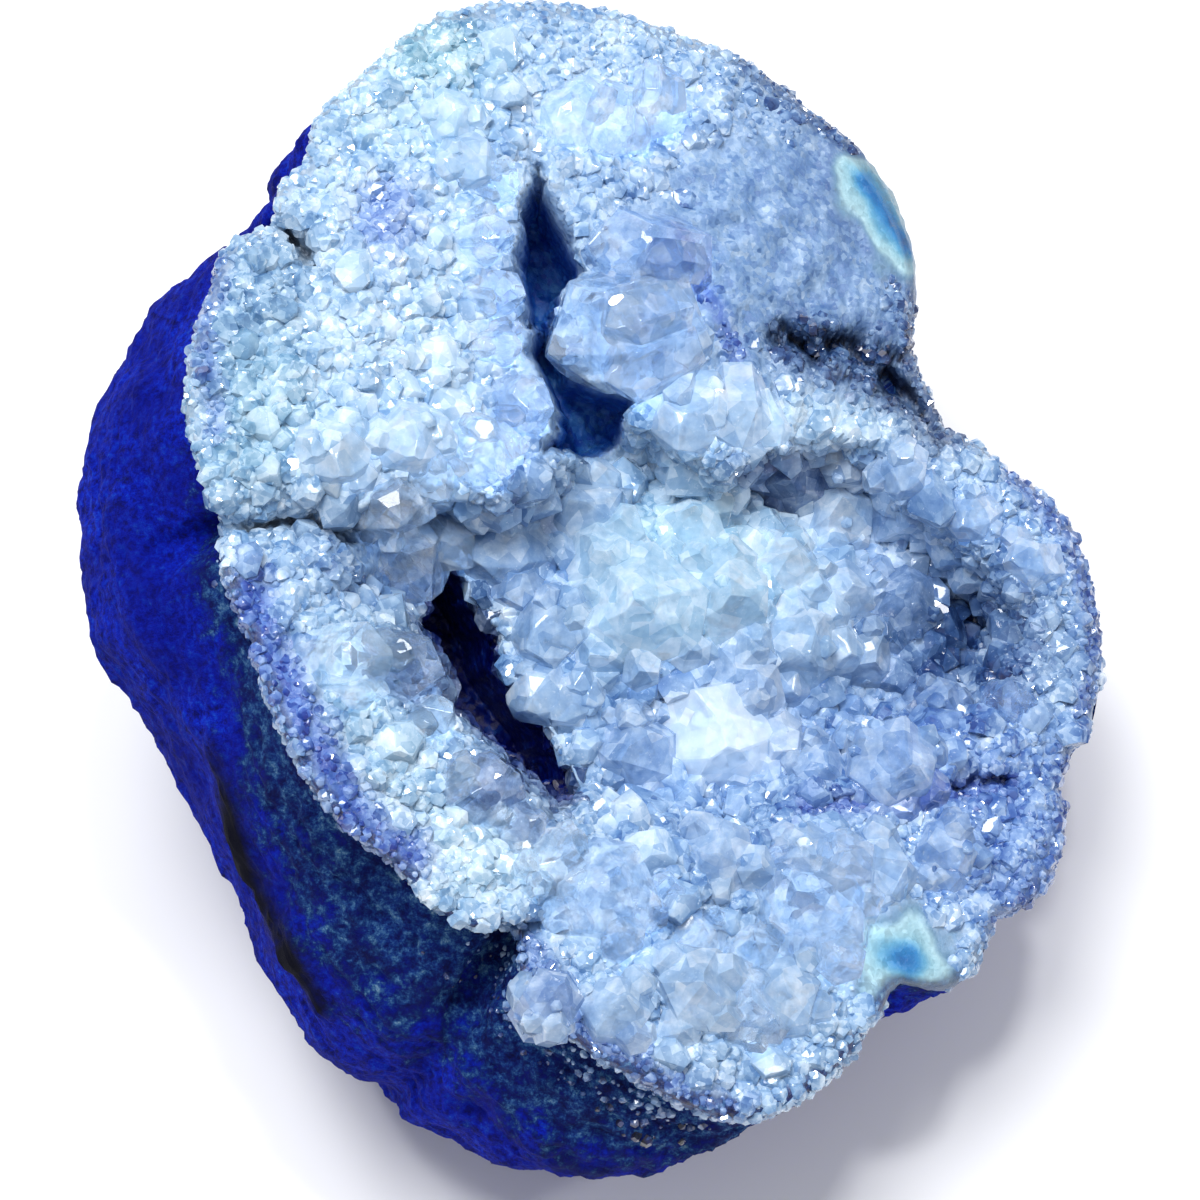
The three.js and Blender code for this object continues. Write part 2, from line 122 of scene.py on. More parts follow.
# The trench of the shell below each cleft: its line, its floor below the mouth and half-width
TRENCHES = [
    ([(-6, 30), (-4.5, 20), (-4, 12)], 19, 9),
    ([(-4, 12), (-12, 4), (-11, -4), (-5, -12)], 27, 11),
]

# Where the rim runs in at the right, the shell's floor is raised so that the wall stays whole:
# u, v, how far it reaches, and its height
NOTCH = (23.5, 15.5, 5, 1.4)

# Swells and sinks of the face: u, v, half-widths along u and v, height
SWELLS = [
    (-16.5, 19.5, 9, 11, 1.8), (12.5, 28.5, 9, 8, 1.2), (7, 0, 9, 6, 3.2), (-18, -7.5, 4, 9, 0.8),
    (30, -3.5, 4, 4, -2.5), (15, 9.5, 4.5, 2.2, -3.5), (-16, 3, 4, 4, -2),
]

# Where fine quartz fills the gaps between the large points: u, v, half-widths and height
FILLS = [(7, 0, 11, 7, 1.4), (27, -3, 5, 5, 1.2), (8, -21, 12, 6, 0.8), (-2, 5, 3.5, 4, 1)]

# Cracks across the face: path, depth and half-width
CRACKS = [
    ([(14, 20), (18.5, 19.5), (21.5, 17.5), (26.5, 13)], 2, 0.9),
    ([(-24, 27.5), (-22, 26), (-21, 24.5)], 2, 0.9),
    ([(-27, 5), (-23.5, 5.5), (-20.5, 5.5)], 3, 1.2),
    ([(-6.5, -23.5), (-5, -23), (-3, -20.5)], 2.5, 1.1),
    ([(15, -15), (18.5, -15), (22.5, -14.5), (30.5, -13.5)], 1.4, 0.9),
]

# The large quartz points: u, v, radius, and lean along u and v. The milky ones make the mound and
# the floor of the hollow, and the clear ones stand along its edges and on the ridge.
MILKY_POINTS = [
    (9, -10.5, 4.6, 0.1, -0.1), (2, -11.5, 3.1, -0.3, -0.1), (13, -13, 2.9, 0.3, -0.3),
    (-8.6, 3.4, 3.1, -0.7, -0.1), (-1.8, 6.8, 3.4, -0.2, 0.3), (0, 3, 3.4, -0.2, 0.3),
    (7, 6, 2.7, 0, 0.6), (3, -0.5, 4.7, -0.1, 0.1), (9.5, 0, 3.9, 0.1, 0.1),
    (14.5, 3, 2.8, 0.3, 0.5), (19, 1, 2.6, 0.3, 0.2), (23.5, 0, 3.1, 0.1, 0.35),
    (15.5, -3.5, 3.5, 0.2, -0.1), (10, -5.5, 3.2, 0, -0.3), (20.5, -4.5, 2.6, 0.3, -0.2),
    (-4.5, -3, 3, -0.5, -0.3), (-4.9, -7.5, 2.3, -0.3, -0.4), (-3, -8, 2.2, -0.3, -0.5),
    (22, -12, 3.4, 0.2, 0.1), (26, -8, 2.2, 0.2, 0.3), (16.5, -12.5, 2.3, 0.2, 0.2),
    (8.5, -18, 2.8, -0.1, 0.2), (15, -18.5, 2.7, 0, 0.2), (6.2, 12.6, 2.7, -0.2, -0.9),
    (10.5, 13, 2.4, 0.1, -1.2), (14.5, 9.5, 3.4, 0.1, -0.3), (19, 10, 2, 0.2, -0.5),
    (18.5, 7, 2.8, 0.1, 0.4), (7, -27, 3, 0.2, 0.3), (13, -27.5, 2.7, -0.1, 0.5),
    (1.5, -28, 2.5, 0.2, 0.5), (19.5, -19, 2.4, -0.4, 0.4), (24.5, -18, 2.2, -0.5, 0.4),
    (32, 3, 2.2, -0.7, 0), (28, 6, 2, -0.5, -0.3), (23, 9, 2, -0.2, -0.6),
    (4.2, 17.6, 2.5, -0.8, -0.6), (-18.5, 9.5, 2.4, 0.2, -0.6), (-13.5, 11, 2.6, 0.2, -0.4),
    (-11, 35, 1.9, 0.2, -0.6), (-9, 32, 2.1, 0.6, -0.5), (-3, -27, 2.2, 0.4, 0.6),
]
CLEAR_POINTS = [
    (14.5, -21.5, 4.3, -0.2, 0.3), (1, -20, 3.7, 0.2, 0.4), (-2.5, -18, 2.4, 0.5, 0.5),
    (-7, -12.5, 2.4, 0.8, 0.6), (-5, -15.5, 1.6, 0.9, 0.5), (-11, -8, 1.5, 0.9, 0.3),
    (-16, -4, 2.5, 1.6, 0.1), (-12.5, -5, 2.2, 1.8, -0.4), (-13.5, 2, 3.2, 1.2, -1.6),
    (-14.5, 6, 2.3, 0.4, -0.6), (-11.5, 8, 1.8, 0.6, -0.8), (-8, 9.5, 2.5, 0.7, -0.8),
    (-4.6, 14.2, 2.1, 1.3, 0), (-6.8, 18.5, 1.5, 1.6, 0), (-6.9, 22.5, 1.8, 1.8, -0.3),
    (-7.5, 27, 1.7, 1.6, 0.1), (-6.9, 30.8, 1.5, 1.4, -0.3), (-0.9, 19.3, 4.3, -1.3, -0.5),
    (1, 26.2, 3.8, -1.1, 0.1), (-2.5, 35.5, 2.3, -0.4, -0.9), (0.5, 35, 2.3, -0.2, -1.2),
    (4, 36.5, 2.3, 0, -1.4), (10.5, -28.5, 2.4, 0.2, 0.4), (16.5, -24.5, 1.9, -0.2, 0.5),
    (7, -23.5, 2, 0.2, 0.4), (11, -24.5, 2, 0, 0.5), (30, -7.5, 1.8, -0.6, 0.2),
]

# Where the dye shows in the crust, and painted shade in the cave, in the basin and under the clear
# points on the ridge: u, v, half-widths, colour and strength
STAINS_AND_PAINTED_SHADE = [
    (-16, 20, 10, 13, "#BCD2E6", 0.9),
    (-15.5, 28.5, 2, 3, "#5A7CC8", 0.5),
    (-25, 14, 4, 6, "#A4C2D4", 0.8),
    (-25, 22, 4, 4, "#8CACC8", 0.7),
    (-14, 38, 7, 5, "#BCD4E6", 0.8),
    (-12.5, 41.5, 3.5, 2.5, "#9CC0CC", 0.6),
    (4, 36, 8, 6, "#BCD2E8", 0.8),
    (14, 28, 11, 10, "#7C9CC4", 0.95),
    (21, 34, 5, 7, "#6C8AB4", 0.8),
    (20, 19, 6, 3, "#5C7CA8", 0.85),
    (16, 13, 9, 2.5, "#C4D8E8", 0.8),
    # Painted shade in the cave under the upper right lobe
    (15, 9, 5, 2, "#42629C", 0.9),
    (5, 2, 9, 6, "#B8D2E2", 0.95),
    (-4.5, 4, 3.5, 7, "#88A6CA", 0.85),
    (18, 0, 5, 5, "#B8D0E4", 0.8),
    (24, 3, 5, 6, "#9CB8DA", 0.8),
    (32, 3, 5, 5, "#A2BEDE", 0.8),
    # Painted shade in the basin
    (27.5, -3.5, 6.5, 4.5, "#50709E", 0.9),
    (26, -12, 9, 4, "#7C9CCC", 0.8),
    (29, -18, 6, 5, "#7898CA", 0.85),
    (20, -17, 6, 5, "#A8C2DE", 0.8),
    (9, -10.5, 7.5, 6.5, "#7C9CC6", 0.75),
    (9, -10.5, 3.6, 3.2, "#DCEAF6", 0.95),
    (7, -16, 9, 3, "#90AED2", 0.8),
    (7, -21, 8, 4, "#A4BEDA", 0.7),
    (8, -30, 9, 4, "#A6BED6", 0.7),
    (-10, -17, 7, 4, "#C4D8E6", 0.95),
    (-16, -8, 4, 8, "#B4CCDE", 0.95),
    (-15, 3, 4.5, 3.5, "#7898C0", 0.85),
    (-6, 20, 2.5, 11, "#9CB8DC", 0.6),
    # Painted shade and painted dark reflection under the clear points on the ridge
    (-12.6, -4.6, 2.4, 2.8, "#3E5E8C", 0.8),
    (-7, -12.6, 2.2, 2, "#486898", 0.75),
    (-4.6, -15.8, 1.6, 1.4, "#5474A0", 0.7),
]
DYE_LINES = [
    ([(-24.5, 1), (-23.1, -2.8), (-20.5, -8), (-16.9, -14.9), (-13, -17.7)], 1.5, "#2C5CB4", 0.85),
    ([(-27.5, 24), (-28, 18), (-27, 12)], 1.0, "#4468BC", 0.45),
    ([(15, -15), (22.5, -14.5), (30.5, -13.5)], 0.9, "#3C58B0", 0.7),
    ([(-5, -24), (-2, -29), (4, -33.5), (9, -35.5)], 1.2, "#4468B0", 0.6),
    ([(15, 20), (19, 18.5), (22, 17), (26.5, 13)], 2.2, "#3C5C8C", 0.8),
    ([(5, 27), (9, 22), (11, 16)], 0.7, "#4064B8", 0.6),
    ([(24, 20), (25, 26), (23.5, 31), (19, 37), (12, 42)], 1.6, "#4A6C9C", 0.7),
    ([(32, 10), (36.5, 5), (38.3, -2), (37, -8)], 1.1, "#4468B0", 0.7),
    ([(35.5, -12), (35.3, -16), (34, -20), (30, -24)], 1.3, "#5072B4", 0.7),
]
CRUST_BLUE = "#A8C2DC"
# The navy of the clefts and the deep hollow, partly dye and partly painted shade:
UPPER_CLEFT_DYE_AND_SHADE = "#3478CC"  # in the upper cleft
LOWER_CLEFT_DYE_AND_SHADE = "#041C78"  # in the lower one
CRUMB_PALE = "#84A4CC"  # loose crumbs on the shell, beside the crust
CRUMB_DARK = "#102C70"  # and further from it

# Jagged breaks in the crust: path, half-width, depth, and how dark the painted shade in it is
BREAKS = [
    ([(13.5, 20.6), (15.5, 20), (16.5, 19)], 0.9, 1.8, 0.98),
    ([(16, 19.8), (20, 19.6), (23.6, 18.6)], 0.6, 1.3, 0.95),
    ([(16.5, 19), (19, 17.2), (23, 16)], 0.5, 1.0, 0.8),
    ([(21.5, 18), (24.5, 15.5), (27, 12.6)], 0.8, 1.3, 0.95),
    ([(-24, 27.5), (-22, 26), (-21, 24.5)], 0.5, 1.2, 0.8),
    ([(-12.5, -21.3), (-9, -22.6), (-6.2, -23.6)], 0.6, 2.2, 0.85),
    ([(15, -15), (22.5, -14.5), (30.5, -13.5)], 0.5, 0.8, 0.3),
    ([(-26, 5.2), (-22, 5.4), (-18, 4.5), (-14.5, 7)], 0.6, 1.2, 0.6),
]
# The near black painted into the breaks, as painted shade
BREAK_SHADE_COLOUR = "#060E30"

# Folds in the shell's skin, as seen from in front: a path of u, v, half-width and depth
FOLDS = [
    ([(-28.5, 4), (-28.1, 0), (-27.2, -11.6), (-26.1, -14.5), (-25, -18.9), (-23.6, -21.8),
      (-19.6, -29)], 0.9, 0.8),
]

# Bare agate in the crust, ringed round a blue slit: the slit's ends, and how far the rings reach
EYES = [([(20.6, 32.8), (22.3, 30.4), (24.0, 27.6)], 2.2), ([(21.7, -25.9), (22.3, -26.1)], 2.9)]

face_normal = np.array([
    math.sin(MOUTH_TILT) * math.cos(MOUTH_TURN),
    math.sin(MOUTH_TILT) * math.sin(MOUTH_TURN),
    math.cos(MOUTH_TILT),
])
down = np.array([0, -math.sin(LEAN), -math.cos(LEAN)])


def turn_to_row(directions):
    """Face-frame directions as row directions."""
    u, v, w = np.asarray(directions, dtype=float).T
    y = v * math.cos(LEAN) - w * math.sin(LEAN)
    z = v * math.sin(LEAN) + w * math.cos(LEAN)
    return np.stack([u, y, z], axis=1)


def to_row(points):
    """Face-frame millimetres as the row's metres."""
    return (turn_to_row(points) + REST) / 1000


def linear(colour):
    """An sRGB hex colour as linear RGBA."""
    parts = [int(colour[i:i + 2], 16) / 255 for i in (1, 3, 5)]
    return [p / 12.92 if p <= 0.04045 else ((p + 0.055) / 1.055) ** 2.4 for p in parts] + [1]


def smooth(x):
    t = np.clip(x, 0, 1)
    return t * t * (3 - 2 * t)


def path_distance(u, v, path):
    """How far each place lies from a path of u, v."""
    nearest = np.full(np.shape(u), np.inf)
    for (au, av), (bu, bv) in zip(path, path[1:]):
        du, dv = bu - au, bv - av
        t = np.clip(((u - au) * du + (v - av) * dv) / (du * du + dv * dv), 0, 1)
        nearest = np.minimum(nearest, np.hypot(u - au - t * du, v - av - t * dv))
    return nearest


def depth_inside(u, v, loop):
    """How far each place lies inside a closed loop, or 0 outside it."""
    inside = np.zeros(np.shape(u), dtype=bool)
    for (au, av), (bu, bv) in zip(loop, loop[1:] + loop[:1]):
        if av != bv:
            inside ^= ((av > v) != (bv > v)) & (u < (bu - au) * (v - av) / (bv - av) + au)
    return np.where(inside, path_distance(u, v, loop + loop[:1]), 0)


def bell(u, v, cu, cv, ru, rv):
    return np.exp(-((u - cu) / ru) ** 2 - ((v - cv) / rv) ** 2)


def mouth_height(u, v):
    return -(face_normal[0] * u + face_normal[1] * v) / face_normal[2]


def face_height(u, v):
    """The crust's surface between its points, without the clefts."""
    height = mouth_height(u, v)
    height = height - HOLLOW_DEPTH * smooth(depth_inside(u, v, HOLLOW) / HOLLOW_WALL)
    for cu, cv, ru, rv, rise in SWELLS:
        height = height + rise * bell(u, v, cu, cv, ru, rv)
    for path, depth, width in CRACKS:
        height = height - depth * np.exp(-(path_distance(u, v, path) / width) ** 2)
    return height


def cleft_height(u, v):
    """The crust's surface with the clefts."""
    height = face_height(u, v)
    for cu, cv, ru, rv, rise in FILLS:
        height = height + rise * bell(u, v, cu, cv, ru, rv)
    for (edge, depth), filled in zip(CLEFTS, CLEFT_FLOORS):
        inside = smooth(depth_inside(u, v, edge) / CLEFT_WALL)
        height = height + (mouth_height(u, v) - filled * depth - height) * inside
    return height


def shell_height(u, v):
    """The shell's surface under the crust."""
    cu, cv, reach, rise = NOTCH
    lining = face_height(u, v) - CRUST - GAP + rise * bell(u, v, cu, cv, reach, reach)
    height = lining
    for path, floor, width in TRENCHES:
        trench = smooth(1.4 - path_distance(u, v, path) / width)
        height = np.minimum(height, lining + (mouth_height(u, v) - floor - lining) * trench)
    return height


def round_rim(columns):
    """The rim as a smooth closed curve through its points, with its swell: one row a column."""
    at = np.arange(columns) * len(RIM) / columns
    i = at.astype(int)
    t = (at - i)[:, None]
    a, b, c, d = (RIM[(i + k) % len(RIM)] for k in (-1, 0, 1, 2))
    return b + t / 2 * (c - a + t * (2 * a - 5 * b + 4 * c - d + t * (3 * (b - c) + d - a)))


def lump(p):
    x, y, z = p.T
    slow = np.sin(x / 6.3 + 0.6) * np.sin(y / 5.4 + 1.9) * np.sin(z / 5.9 + 0.4)
    quick = np.sin(x / 2.7 + 2.2) * np.sin(y / 3.1 + 0.3) * np.sin(z / 2.9)
    return 1.5 * slow + 0.5 * quick


def back_ring(rim, angle):
    """A ring round the back of the shell, at an angle from the rim to its lowest point."""
    swell = math.sin(math.pi * (angle / math.radians(90)) ** 0.7)
    depth = RIM_BAND + GAP + (SHELL_DEPTH - RIM_BAND) * math.sin(angle)
    edge = np.column_stack([rim[:, 0], rim[:, 1], mouth_height(rim[:, 0], rim[:, 1])])
    towards = np.cos(np.arctan2(rim[:, 1], rim[:, 0]) - MOUTH_TURN)
    out = (math.cos(angle) ** (BELLY + BELLY_LEAN * towards))[:, None]
    outward = edge / np.linalg.norm(edge, axis=1)[:, None]
    place = edge * out - face_normal * depth + outward * (rim[:, 2:] * swell)
    place = place + outward * (lump(place) * math.sin(angle))[:, None]
    rearward = -place[:, 1] * down[2] + place[:, 2] * down[1]
    off = np.hypot(place[:, 0] - FOOT[0], rearward - FOOT[1]) / FOOT_WIDTH
    return place + down * (FOOT_SWELL * np.exp(-off * off))[:, None]


def skin_faces(around, rows):
    """Triangles of a closed surface: a first point, rows of points, a last point, facing out."""
    i = np.arange(around)
    j = (i + 1) % around
    faces = [np.column_stack([np.zeros(around, int), 1 + i, 1 + j])]
    for row in range(rows - 1):
        a, b = 1 + row * around, 1 + (row + 1) * around
        faces.append(np.column_stack([a + i, b + i, b + j]))
        faces.append(np.column_stack([a + i, b + j, a + j]))
    a = 1 + (rows - 1) * around
    faces.append(np.column_stack([a + i, np.full(around, a + around), a + j]))
    return np.concatenate(faces)


def new_object(name, data):
    """An object in the scene."""
    made = bpy.data.objects.new(name, data)
    bpy.context.scene.collection.objects.link(made)
    return made


def mesh_object(name, points, faces):
    """An object of triangles from row-frame points."""
    mesh = bpy.data.meshes.new(name)
    mesh.vertices.add(len(points))
    mesh.vertices.foreach_set("co", np.asarray(points, dtype=np.float32).ravel())
    mesh.loops.add(faces.size)
    mesh.loops.foreach_set("vertex_index", faces.astype(np.int32).ravel())
    mesh.polygons.add(len(faces))
    mesh.polygons.foreach_set("loop_start", np.arange(0, faces.size, 3, dtype=np.int32))
    mesh.update(calc_edges=True)
    mesh.polygons.foreach_set("use_smooth", np.full(len(faces), True))
    piece = new_object(name, mesh)
    return piece


def store(piece, name, values, kind="FLOAT"):
    """An attribute with one value for each of a piece's vertices."""
    field = {"FLOAT": "value", "FLOAT_VECTOR": "vector", "FLOAT_COLOR": "color"}[kind]
    attribute = piece.data.attributes.new(name, kind, "POINT")
    attribute.data.foreach_set(field, np.asarray(values, dtype=np.float32).ravel())


def grid_normals(grid):
    """Outward directions of a grid of points, rows by columns by 3, closed along its columns."""
    along = np.roll(grid, -1, axis=1) - np.roll(grid, 1, axis=1)
    down_rows = np.gradient(grid, axis=0)
    normal = np.cross(down_rows, along)
    return normal / np.maximum(np.linalg.norm(normal, axis=2, keepdims=True), 1e-9)


def rough(points, size, seed=0, octaves=3):
    """Cloudy noise from about -1 to 1 at each point, with lumps of a size in millimetres."""
    offset = Vector((seed * 17.3, seed * 5.1, seed * 9.7))
    flat = np.asarray(points).reshape(-1, 3) / size
    values = [noise.fractal(Vector(p) + offset, 1.0, 2.0, octaves) for p in flat]
    return np.array(values).reshape(np.shape(points)[:-1])


def add(tree, kind, links=None, out=0, stops=(), **settings):
    """A node with its settings, values or links for its inputs, and the (place, colour) stops of
    a colour ramp. Gives one of its outputs."""
    node = tree.nodes.new(kind)
    for name, value in settings.items():
        setattr(node, name, value)
    for key, value in (links or {}).items():
        if isinstance(value, bpy.types.NodeSocket):
            tree.links.new(value, node.inputs[key])
        else:
            node.inputs[key].default_value = value
    for _ in stops[2:]:
        node.color_ramp.elements.new(0.5)
    for number, (place, colour) in enumerate(stops):
        node.color_ramp.elements[number].position = place
        node.color_ramp.elements[number].color = linear(colour)
    return node.outputs[out] if node.outputs else None


def stored(tree, name, out="Fac"):
    """What a piece's mesh carries under a name."""
    return add(tree, "ShaderNodeAttribute", out=out, attribute_name=name)


def cloudiness(tree, place, size, detail, roughness=0.5):
    """Cloudy noise with lumps of a size in millimetres."""
    return add(tree, "ShaderNodeTexNoise", {"Vector": place, "Scale": 1000 / size,
                                            "Detail": detail, "Roughness": roughness})


def ranged(tree, value, between=(0, 1), to=(0, 1)):
    """A value taken from one range to another."""
    return add(tree, "ShaderNodeMapRange", {
        "Value": value, "From Min": between[0], "From Max": between[1], "To Min": to[0],
        "To Max": to[1],
    })


def mix_colours(tree, share, first, second):
    """The first colour with a share of the second."""
    return add(tree, "ShaderNodeMix", {0: share, 6: first, 7: second}, 2, data_type="RGBA")


def tint_at(u, v, w):
    """The crust's colour at each place, as linear RGBA: dye, agate grey, and navy in the deep,
    which is partly dye and partly painted shade.
    """
    colour = np.tile(linear(CRUST_BLUE), (len(u), 1))
    # Dye stains, and painted shade in the cave, the basin and under the ridge's clear points
    for cu, cv, ru, rv, stain, strength in STAINS_AND_PAINTED_SHADE:
        share = (strength * np.minimum(1, 1.6 * bell(u, v, cu, cv, ru, rv)))[:, None]
        colour = colour + (linear(stain) - colour) * share
    for path, width, stain, strength in DYE_LINES:
        share = strength * np.exp(-(path_distance(u, v, path) / width) ** 2)
        colour = colour + (linear(stain) - colour) * share[:, None]
    # Painted shade with dye: the deeper the crust lies below the mouth, or inside a cleft, the
    # nearer it is to navy
    drop = mouth_height(u, v) - w
    deep = smooth((drop - 9.3) / 3)
    for edge, _ in CLEFTS:
        deep = np.maximum(deep, smooth(depth_inside(u, v, edge) / 0.8) * smooth((drop - 3) / 4))
    dye_and_shade_navy = np.where(v[:, None] > CLEFTS_PART, linear(UPPER_CLEFT_DYE_AND_SHADE), linear(LOWER_CLEFT_DYE_AND_SHADE))
    return colour + (dye_and_shade_navy - colour) * deep[:, None]


def eye_distance(u, v):
    """0 in the slit of an agate eye, and 1 on its outer ring, which is uneven as it grew."""
    uneven = 1 + 0.22 * np.sin(1.3 * u + 0.7 * v) * np.sin(0.9 * v - 0.6 * u + 1)
    return np.minimum(*[path_distance(u, v, slit) / reach for slit, reach in EYES]) * uneven


def weathered_side(turn):
    """How weathered the rim is at an angle round the face: most at the lower left."""
    degrees = np.degrees(turn) % 360
    return np.clip(smooth((degrees - 150) / 40) * smooth((325 - degrees) / 30), 0.12, 1)


def make_rind():
    """The agate shell: its lumpy back, its broken rim and the floor that the crust lines."""
    columns, back_rows, front_rows = COLUMNS, 130, 12
    rim = round_rim(columns)
    edge_height = face_height(rim[:, 0], rim[:, 1]) - RIM_BAND - GAP
    rows = []
    for share in np.linspace(0.08, 0.94, front_rows):
        u, v = rim[:, 0] * share, rim[:, 1] * share
        rows.append(np.column_stack([u, v, shell_height(u, v)]))
    rows.append(np.column_stack([rim[:, 0], rim[:, 1], edge_height]))
    front = len(rows)
    angles = np.radians(89.5 * np.linspace(0.004, 1, back_rows) ** 1.15)
    back = np.array([back_ring(rim, angle) for angle in angles])
    # As on the part, the skin runs straight from the broken edge to the first ring of the back
    near = np.clip(angles / FIRST_RING, 0, 1)[:, None, None]
    straight = rows[-1] + (back_ring(rim, FIRST_RING) - rows[-1]) * near
    back = np.where(near < 1, straight, back)
    normal = -grid_normals(back)
    turn = np.arctan2(rim[:, 1], rim[:, 0])
    circle = np.column_stack([np.cos(turn), np.sin(turn)]) * MEAN_RADIUS
    along = np.broadcast_to(circle, (back_rows, columns, 2))
    below = np.broadcast_to((angles * SHELL_DEPTH)[:, None], (back_rows, columns))
    # Wrinkles run along the rim: long noise round it, and short noise down from it
    wrinkle = rough(np.dstack([along / 9, below / 1.7]), 1.0, 3)
    layers = rough(np.dstack([along / 16, below / 0.55]), 1.0, 4, 2)
    lumps = rough(back, 4.5, 5, 4)
    felt = rough(back, 0.9, 6, 3)
    reach = 2.5 + 6.5 * smooth((np.degrees(turn) % 360 - 180) / 50) * weathered_side(turn)
    near_rim = np.exp(-(below / reach) ** 2) * np.clip(weathered_side(turn) * 1.2, 0, 1)
    crumb = rough(back, 1.1, 7, 3)
    fold = np.zeros((back_rows, columns))
    for path, width, depth in FOLDS:
        aside = path_distance(back[:, :, 0], back[:, :, 1], path)
        facing = smooth((below - 4) / 4) * smooth((19 - below) / 7)
        fold = fold + depth * np.exp(-(aside / width) ** 2) * facing
    fade = smooth(below / 2.5) * smooth((math.radians(89) - angles[:, None]) * 4)
    relief = 0.3 * wrinkle + (0.3 * layers + 0.45 * crumb) * near_rim + 0.55 * lumps + 0.2 * felt
    relief = relief * fade
    relief = relief - fold * fade
    back = back + normal * relief[:, :, None]
    rows.extend(back)
    pole = back[-1].mean(axis=0) + down * 0.02
    points = np.concatenate([[[0, 0, shell_height(np.zeros(1), np.zeros(1))[0]]], *rows, [pole]])
    placed = to_row(points)
    # The flat spot: whatever reached below the seat is pressed up to it
    placed[:, 2] = np.maximum(placed[:, 2], 0)
    piece = mesh_object("rind", placed, skin_faces(columns, len(rows)))
    count = 1 + front * columns
    worn = np.concatenate([np.ones(count), near_rim.ravel(), [0]])
    # Painted shade: darker in the folds and where the skin's relief sinks
    shaded = np.clip(fold * 0.8 - relief * 0.7 - 0.1, 0, 1)
    sunk = np.concatenate([np.zeros(count), shaded.ravel(), [0]])
    store(piece, "worn", worn)
    store(piece, "sunk", sunk)
    below_rim = np.concatenate([np.full(count, 9.0), below.ravel(), [9]])
    ragged = rough(points, 2.5, 8, 3)
    lower = smooth((-23 - points[:, 1]) / 3) * smooth((10 - points[:, 0]) / 4)
    crumb_reach = 1.1 + 2.4 * lower
    band = smooth((crumb_reach * (1 + 0.5 * ragged) - below_rim) / 1.5)
    store(piece, "crumbs", (0.3 + 0.4 * lower) * band * np.clip(worn * 1.6 - 0.5, 0, 1))
    faded = smooth((below_rim / crumb_reach + 0.4 * ragged) * 0.9)[:, None]
    pale = np.array(linear(CRUMB_PALE))
    tint = pale + (linear(CRUMB_DARK) - pale) * faded
    store(piece, "tint", tint, "FLOAT_COLOR")
    return piece


